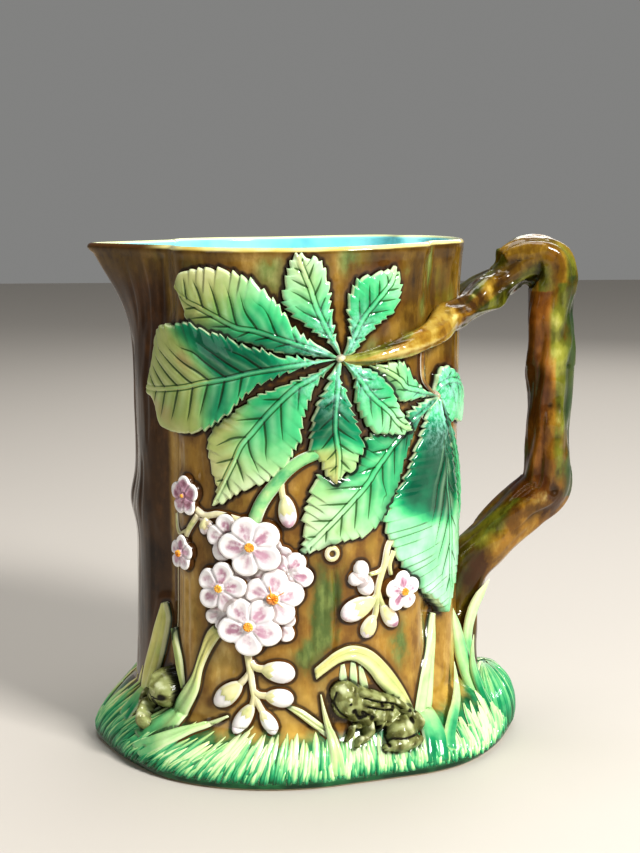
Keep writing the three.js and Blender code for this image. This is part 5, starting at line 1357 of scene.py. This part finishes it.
col = g.mix(g.math("MULTIPLY", g.math("MULTIPLY", tan, g.step(warm, 0.45, 0.95)), 0.70), col, C(182, 156, 104))
q = g.attr("q"); d = g.math("MULTIPLY", g.math("ABSOLUTE", g.math("SUBTRACT", g.math("FRACT", q), 0.5)), g.attr("qp"))
vf = g.attr("vf")
# Painted shade beside the veins and a painted highlight on the cushions between them.
vein_shade = g.math("MULTIPLY", g.step(d, 2.6, 0.3), vf)
col = g.mix(g.math("MULTIPLY", vein_shade, 0.30), col, C(4, 96, 60))
cushion_highlight = g.math("MULTIPLY", g.step(d, 1.0, 3.2), vf)
col = g.mix(g.math("MULTIPLY", cushion_highlight, 0.20), col, C(196, 236, 188))
vein = g.math("MULTIPLY", g.step(g.math("SUBTRACT", d, g.math("MULTIPLY", vf, 0.30)), 0.26, -0.04), g.step(vf, 0.03, 0.35))
col = g.mix(g.math("MULTIPLY", vein, 0.95), col, C(98, 128, 84), "MULTIPLY")
vx = g.attr("vx"); cs = g.attr("cs")
side = g.step(g.math("ABSOLUTE", g.math("SUBTRACT", vx, 1.02)), 0.42, 0.12)
side = g.math("MULTIPLY", side, g.step(cs, 0.97, 0.80))
col = g.mix(g.math("MULTIPLY", side, 0.92), col, C(86, 132, 90), "MULTIPLY")
# A painted highlight along the raised midrib.
rib = g.math("MULTIPLY", g.step(vx, 0.62, 0.15), g.step(cs, 1.0, 0.6))
col = g.mix(g.math("MULTIPLY", rib, 0.35), col, C(130, 214, 160))
# Mint-white streaks near the hub: a painted highlight.
hub = g.step(g.attr("hub"), 26.0, 4.0)
hub_highlight = g.math("MULTIPLY", hub, g.step(g.noise(420.0, 3.0, 0.7), 0.35, 0.65))
col = g.mix(g.math("MULTIPLY", hub_highlight, 0.60), col, C(176, 238, 222))
e = g.attr("edge")
pale = g.math("MULTIPLY", g.step(e, 1.05, 0.30), g.step(g.noise(190.0, 2.0), 0.30, 0.58, 0.25, 1.0))
col = g.mix(g.math("MULTIPLY", pale, 0.68), col, C(222, 232, 190))
# Beside anything that lies over the leaf: painted shade and pooled dark glaze, deepest at the edge.
ab = g.attr("above")
col = g.mix(g.math("MULTIPLY", g.step(ab, 4.2, 0.8), 0.55), col, C(2, 66, 44))
col = g.mix(g.math("MULTIPLY", g.step(ab, 1.35, 0.65), 0.94), col, C(8, 20, 8))
# The side walls go dark towards the body: painted shade.
col = g.mix(g.step(e, -0.15, -0.75), col, C(26, 18, 4))
ripple(g)
LEAF = g.done(col)

# Dark outline strip round each raised shape: pooled glaze and painted shade.
g = Glaze("pooled_glaze_and_shade_outline", rough=0.4, coat=0.3, coat_rough=0.12)
col = g.ramp(g.noise(120.0, 3.0), [(0.30, C(20, 10, 2)), (0.58, C(44, 24, 6)), (0.80, C(84, 54, 18))])
OUTLINE = g.done(col)
g = Glaze("pooled_glaze_and_shade_outline_thin", rough=0.4, coat=0.3, coat_rough=0.12)
col = g.ramp(g.noise(90.0, 3.0), [(0.25, C(44, 22, 4)), (0.60, C(96, 60, 18)), (0.85, C(140, 98, 42))])
OUTLINE2 = g.done(col)

# Blossom glaze
g = Glaze("blossom_glaze", rough=0.34, coat_rough=0.03)
n1 = g.noise(300.0, 3.0, 0.6); n2 = g.noise(130.0, 2.0)
col = g.ramp(n2, [(0.3, C(226, 222, 224)), (0.6, C(248, 245, 244)), (0.85, C(255, 253, 250))])
lil = g.math("MULTIPLY", g.attr("lilac"), g.step(n1, 0.28, 0.66, 0.25, 1.0))
col = g.mix(g.step(lil, 0.0, 0.72), col, g.ramp(n2, [(0.35, C(200, 158, 176)), (0.7, C(170, 122, 142))]))
col = g.mix(g.math("MULTIPLY", g.step(lil, 0.80, 1.20), 0.80), col, C(148, 96, 112))
# Painted shade in the creases between petals.
col = g.mix(g.math("MULTIPLY", g.attr("crease"), 0.28), col, C(160, 140, 152))
col = g.mix(g.step(g.attr("green"), 0.25, 0.75), col, g.ramp(g.noise(110.0, 3.0), [(0.3, C(186, 196, 126)), (0.48, C(222, 218, 162)), (0.72, C(240, 232, 196))]))
col = g.mix(g.step(g.attr("green"), 1.3, 1.8), col, g.ramp(g.noise(120.0, 3.0, shift=(2, 1, 5)), [(0.3, C(92, 178, 118)), (0.5, C(150, 208, 140)), (0.72, C(214, 226, 160))]))
col = g.mix(g.step(g.attr("green"), 2.3, 2.8), col, g.ramp(g.noise(120.0, 3.0), [(0.3, C(84, 50, 14)), (0.55, C(140, 104, 48)), (0.8, C(186, 160, 100))]))
col = g.mix(g.step(g.attr("gold"), 0.30, 0.75), col, g.ramp(n1, [(0.3, C(226, 132, 28)), (0.7, C(250, 196, 84))]))
e = g.attr("edge")
col = g.mix(g.math("MULTIPLY", g.step(e, 1.0, 0.2), 0.55), col, C(255, 254, 248))
# Painted shade beside anything that lies over the blossoms, buds and stalks.
ab = g.attr("above")
col = g.mix(g.math("MULTIPLY", g.step(ab, 2.4, 0.6), 0.24), col, C(158, 132, 140))
col = g.mix(g.math("MULTIPLY", g.step(ab, 1.0, 0.55), 0.48), col, C(124, 96, 84))
# Side walls and the hollow of the ring knot go dark: painted shade.
col = g.mix(g.step(e, -0.25, -0.85), col, C(40, 22, 6))
ripple(g, 320.0, 0.08)
PETAL = g.done(col)

# Grass glaze
g = Glaze("grass_glaze", rough=0.30, coat_rough=0.03)
gt = g.math("ADD", g.attr("gt"), g.math("MULTIPLY", g.math("SUBTRACT", g.noise(110.0, 3.0), 0.5), 0.50))
col = g.ramp(gt, [(0.0, C(216, 238, 184)), (0.20, C(176, 220, 150)), (0.42, C(98, 186, 124)), (0.64, C(26, 142, 92)), (1.0, C(0, 82, 44))], "LINEAR")
wm = g.ramp(gt, [(0.0, C(236, 228, 168)), (0.3, C(204, 200, 118)), (0.65, C(142, 146, 66)), (1.0, C(78, 98, 40))], "LINEAR")
col = g.mix(g.step(g.math("ADD", g.attr("gw"), g.math("MULTIPLY", g.math("SUBTRACT", g.noise(90.0, 2.0, shift=(2, 9, 4)), 0.5), 0.5)), 0.15, 0.95), col, wm)
e = g.attr("ge")
col = g.mix(g.math("MULTIPLY", g.step(e, 0.85, 0.15), 0.62), col, C(244, 246, 210))
# Painted shade beside anything that lies over the blades.
ab = g.attr("above")
col = g.mix(g.math("MULTIPLY", g.step(ab, 3.2, 0.6), 0.40), col, C(4, 84, 48))
col = g.mix(g.math("MULTIPLY", g.step(ab, 1.1, 0.55), 0.80), col, C(22, 34, 12))
# Side walls go dark: painted shade.
col = g.mix(g.step(e, -0.2, -0.8), col, C(18, 44, 16))
ripple(g, 300.0, 0.08)
GRASS = g.done(col)
# Dark outline strip round each blade: pooled glaze and painted shade.
g = Glaze("grass_pooled_glaze_and_shade_outline", rough=0.4, coat=0.3, coat_rough=0.12)
GRASS_LINE = g.done(g.ramp(g.noise(110.0, 3.0), [(0.3, C(38, 26, 6)), (0.6, C(86, 60, 20)), (0.85, C(120, 104, 40))]))

# Frog glaze
g = Glaze("frog_glaze", rough=0.42, coat=0.55, coat_rough=0.08)
n1 = g.noise(190.0, 3.0, 0.65); n2 = g.noise(420.0, 3.0, 0.6, shift=(5, 5, 5))
col = g.ramp(g.math("ADD", g.math("MULTIPLY", g.attr("ft"), 0.5), g.math("MULTIPLY", n1, 0.6)), [(0.25, C(56, 56, 26)), (0.46, C(106, 108, 62)), (0.66, C(150, 156, 104)), (0.88, C(204, 210, 170))])
col = g.mix(g.step(n2, 0.60, 0.72), col, C(190, 190, 146))
# Painted highlights.
col = g.mix(g.step(g.attr("fc"), 0.35, 0.95, 0.0, 0.8), col, C(206, 212, 170))
# Painted shade and pooled glaze in grooves, dark spots and round the outline.
col = g.mix(g.step(g.attr("fd"), 0.22, 0.72), col, C(22, 18, 6))
ripple(g, 300.0, 0.10)
FROG = g.done(col)

# Body glaze
g = Glaze("bark_glaze", rough=0.30, coat_rough=0.035)
long_ = g.noise(70.0, 4.0, 0.60, stretch=(1, 1, 0.30)); broad = g.noise(24.0, 3.0, 0.55, stretch=(1, 1, 0.6), shift=(2, 3, 1)); fine = g.noise(230.0, 4.0, 0.65, stretch=(1, 1, 0.34))
spots = g.noise(95.0, 4.0, 0.62, shift=(8, 2, 6))
high = g.attr("high")
f = g.math("ADD", g.math("MULTIPLY", long_, 0.42), g.math("MULTIPLY", broad, 0.34))
f = g.math("ADD", f, g.math("MULTIPLY", spots, 0.24))
f = g.math("ADD", f, g.math("MULTIPLY", g.math("SUBTRACT", fine, 0.5), 0.18))
low = g.ramp(f, [(0.34, C(76, 50, 10)), (0.42, C(122, 86, 26)), (0.50, C(158, 121, 48)), (0.57, C(186, 150, 78)), (0.66, C(216, 190, 122))])
upp = g.ramp(f, [(0.34, C(44, 28, 4)), (0.42, C(78, 55, 12)), (0.50, C(110, 84, 26)), (0.57, C(138, 108, 44)), (0.66, C(182, 150, 84))])
col = g.mix(g.step(high, 112.0, 168.0), low, upp)
gold = g.math("MULTIPLY", g.step(g.noise(38.0, 3.0, 0.6, shift=(9, 4, 2)), 0.54, 0.70), g.step(high, 150.0, 40.0))
col = g.mix(g.math("MULTIPLY", gold, 0.42), col, C(172, 128, 46))
oliv = g.math("MULTIPLY", g.step(g.noise(46.0, 4.0, 0.62, stretch=(1, 1, 0.6), shift=(4, 7, 3)), 0.52, 0.66), g.step(high, 60.0, 190.0, 0.35, 0.85))
col = g.mix(oliv, col, g.ramp(f, [(0.36, C(66, 56, 6)), (0.50, C(108, 96, 24)), (0.62, C(150, 134, 58))]))
foot_ = g.math("MULTIPLY", g.step(high, 52.0, 24.0), g.step(g.noise(60.0, 3.0, 0.6, shift=(1, 6, 9)), 0.38, 0.60))
col = g.mix(g.math("MULTIPLY", foot_, 0.62), col, C(216, 182, 96))
grn = g.math("MULTIPLY", g.attr("green"), g.step(g.math("ADD", g.math("MULTIPLY", long_, 0.5), g.math("MULTIPLY", spots, 0.5)), 0.36, 0.60, 0.20, 1.35))
col = g.mix(g.step(grn, 0.15, 0.85), col, g.ramp(f, [(0.38, C(46, 66, 28)), (0.48, C(78, 96, 44)), (0.56, C(112, 126, 66)), (0.66, C(158, 160, 100))]))
# Dark glaze patches and painted shade on the spout side.
dk = g.math("MULTIPLY", g.attr("dark"), g.step(long_, 0.25, 0.60, 0.78, 1.15))
col = g.mix(g.step(dk, 0.10, 0.90, 0.0, 0.95), col, g.ramp(f, [(0.38, C(30, 12, 1)), (0.52, C(58, 30, 4)), (0.66, C(98, 58, 16))]))
nr = g.attr("near")
# Darker round each raised shape: pooled dark glaze and painted shade.
col = g.mix(g.math("MULTIPLY", g.step(nr, 5.5, 1.2), 0.50), col, C(84, 48, 10))
col = g.mix(g.math("MULTIPLY", g.step(nr, 1.8, 0.9), 0.86), col, C(34, 17, 3))
sk = g.attr("skirt")
skn = g.math("ADD", sk, g.math("MULTIPLY", g.math("SUBTRACT", g.noise(110.0, 3.0), 0.5), 0.5))
skg = g.ramp(g.noise(150.0, 3.0, 0.6, stretch=(1, 1, 0.4)), [(0.3, C(4, 72, 38)), (0.55, C(36, 120, 74)), (0.8, C(104, 178, 124))])
col = g.mix(g.step(skn, 1.02, 0.72), col, skg)
col = g.mix(g.step(high, 3.6, 2.2), col, g.ramp(g.noise(120.0, 2.0), [(0.35, C(4, 50, 26)), (0.7, C(26, 98, 54))]))
col = g.mix(g.step(high, 0.75, 0.45), col, C(196, 180, 130))
rim = g.math("ADD", g.attr("rim"), g.math("MULTIPLY", g.math("SUBTRACT", g.noise(60.0, 2.0), 0.5), 1.0))
rimc = g.ramp(g.noise(45.0, 2.0, shift=(4, 4, 4)), [(0.35, C(204, 176, 84)), (0.55, C(228, 218, 146)), (0.75, C(232, 236, 190))])
brn = g.math("MULTIPLY", g.step(rim, 3.6, 1.6), 0.40)
col = g.mix(brn, col, C(66, 40, 6))
rimc = g.mix(g.step(g.attr("side"), -0.86, -0.95), rimc, C(84, 52, 14))
col = g.mix(g.step(rim, 1.75, 0.85), col, rimc)
ripple(g, 210.0, 0.12, 0.0004)
BARK = g.done(col)

# Inside, underside
g = Glaze("turquoise_glaze", rough=0.25, coat_rough=0.03)
col = g.ramp(g.noise(50.0, 3.0), [(0.3, C(120, 206, 214)), (0.55, C(150, 232, 236)), (0.8, C(184, 246, 246))])
col = g.mix(g.step(g.attr("rim"), 1.1, 0.5), col, C(222, 226, 170))
ripple(g, 120.0, 0.08)
INSIDE = g.done(col)
g = Glaze("underside_glaze", rough=0.45, coat=0.5, coat_rough=0.15)
n = g.noise(160.0, 4.0, 0.6)
col = g.ramp(n, [(0.3, C(150, 132, 96)), (0.55, C(196, 180, 140)), (0.8, C(222, 210, 176))])
col = g.mix(g.step(g.noise(60.0, 3.0, shift=(1, 2, 3)), 0.55, 0.70), col, C(122, 104, 52))
ripple(g, 300.0, 0.2)
UNDER = g.done(col)

# Handle glaze
g = Glaze("branch_glaze", rough=0.30, coat_rough=0.035)
long_ = g.noise(85.0, 4.0, 0.62, stretch=(1, 1, 0.5)); n2 = g.noise(36.0, 3.0, 0.55, shift=(2, 2, 2)); fine = g.noise(240.0, 4.0, 0.65, stretch=(1, 1, 0.5))
f = g.math("ADD", g.math("MULTIPLY", long_, 0.55), g.math("MULTIPLY", n2, 0.45))
f = g.math("ADD", f, g.math("MULTIPLY", g.math("SUBTRACT", fine, 0.5), 0.16))
# Lighter where the painted highlight lies.
f = g.math("ADD", f, g.math("MULTIPLY", g.math("SUBTRACT", g.attr("hl"), 0.45), 0.16))
col = g.ramp(f, [(0.34, C(62, 36, 2)), (0.42, C(108, 74, 12)), (0.50, C(150, 112, 34)), (0.57, C(178, 144, 64)), (0.68, C(214, 194, 120))])
col = g.mix(g.math("MULTIPLY", g.step(g.noise(40.0, 3.0, shift=(6, 6, 1)), 0.52, 0.68), 0.55), col, C(152, 98, 20))
# Red-brown glaze with painted shade on the upright's side towards the body.
col = g.mix(g.math("MULTIPLY", g.attr("hr"), 0.75), col, g.ramp(f, [(0.40, C(66, 26, 4)), (0.60, C(134, 72, 24))]))
grn = g.math("MULTIPLY", g.attr("hg"), g.step(long_, 0.28, 0.60, 0.35, 1.2))
col = g.mix(g.step(grn, 0.15, 0.85, 0.0, 0.9), col, g.ramp(f, [(0.38, C(44, 54, 8)), (0.48, C(92, 100, 30)), (0.57, C(134, 140, 56)), (0.68, C(186, 186, 104))]))
# Dark green outer edge of the upright: glaze colour with painted shade.
col = g.mix(g.math("MULTIPLY", g.attr("he"), g.step(long_, 0.35, 0.60, 0.35, 0.85)), col, C(16, 56, 30))
# Painted highlight.
col = g.mix(g.step(g.math("ADD", g.attr("hl"), g.math("MULTIPLY", g.math("SUBTRACT", fine, 0.5), 0.9)), 0.40, 0.95, 0.0, 0.62), col, C(206, 196, 128))
col = g.mix(g.math("MULTIPLY", g.attr("hd"), 0.82), col, C(34, 20, 3))
ripple(g, 220.0, 0.12, 0.0004)
BRANCH = g.done(col)

body = pot.make([BARK, INSIDE, UNDER])
pieces = [body, leaves.make([LEAF, OUTLINE]), leaves_far.make([LEAF, OUTLINE]), flowers.make([PETAL, OUTLINE2]),
          grass.make([GRASS, GRASS_LINE]), grass_far.make([GRASS, GRASS_LINE]), frogs.make([FROG]), handle.make([BRANCH])]
for ob in pieces:
    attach(ob, "root")
    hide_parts("pitcher")

# ------------------------------------------------------------------ stage: floor, backdrop, lights and camera
D_, H_, PITCH, F_PX, YAW, AX = 640.0, 223.22539652744035, 0.1511969560658723, 1601.0335576204868, -0.08726646259971647, -0.01458364118924533
pos = Vector((math.sin(YAW) * D_, -math.cos(YAW) * D_, H_))
a = YAW + AX
fh = Vector((-math.sin(a), math.cos(a), 0)); right = Vector((math.cos(a), math.sin(a), 0))
fw = fh * math.cos(PITCH) + Vector((0, 0, -math.sin(PITCH))); up = right.cross(fw)
cam = bpy.data.cameras.new("photo_camera"); cam.sensor_fit = "AUTO"; cam.sensor_width = 36.0; cam.lens = F_PX * 36.0 / 853.0
cam.clip_start = 0.02; cam.clip_end = 20
co = bpy.data.objects.new("photo_camera", cam); bpy.context.scene.collection.objects.link(co)
M3 = Matrix((right, up, -fw)).transposed().to_4x4()
M3.translation = Vector(((pos.x + SHIFT) / 1000, pos.y / 1000, pos.z / 1000))
co.matrix_world = M3
bpy.context.scene.camera = co


def plain(name, colour, rough):
    m = bpy.data.materials.new(name); m.use_nodes = True
    b = m.node_tree.nodes["Principled BSDF"]; b.inputs["Base Color"].default_value = colour; b.inputs["Roughness"].default_value = rough
    return m


bpy.ops.mesh.primitive_plane_add(size=6.0, location=(0, 0, 0)); floor = bpy.context.object
floor.name = "floor"; floor.data.materials.append(plain("floor_matt", C(196, 190, 182), 0.7))


def area(name, loc, target, size, power, colour=(1, 1, 1), size_y=None):
    L = bpy.data.lights.new(name, "AREA"); L.energy = power; L.size = size; L.color = colour
    if size_y:
        L.shape = "RECTANGLE"; L.size_y = size_y
    o = bpy.data.objects.new(name, L); bpy.context.scene.collection.objects.link(o)
    o.location = loc
    o.rotation_euler = (Vector(target) - Vector(loc)).to_track_quat("-Z", "Y").to_euler()
    return o


area("key", (0.75, -0.95, 0.95), (0, 0, 0.10), 0.36, 28.5, (1.0, 0.985, 0.96), 0.42)
area("fill", (-1.1, -0.80, 0.55), (0, 0, 0.10), 0.5, 1.8, (0.95, 0.98, 1.0), 0.9)
area("top", (0.0, 0.15, 1.35), (0, 0, 0.1), 0.8, 7.5, (1.0, 1.0, 1.0), 0.8)
area("back", (0.5, 1.2, 0.8), (0, 0, 0.12), 0.7, 3.5, (1.0, 0.99, 0.97), 0.7)
w = bpy.data.worlds.new("studio"); bpy.context.scene.world = w; w.use_nodes = True
w.node_tree.nodes["Background"].inputs[0].default_value = (0.60, 0.60, 0.59, 1); w.node_tree.nodes["Background"].inputs[1].default_value = 0.36
bpy.context.scene.view_settings.view_transform = "Standard"
bpy.context.scene.view_settings.look = "Medium High Contrast"
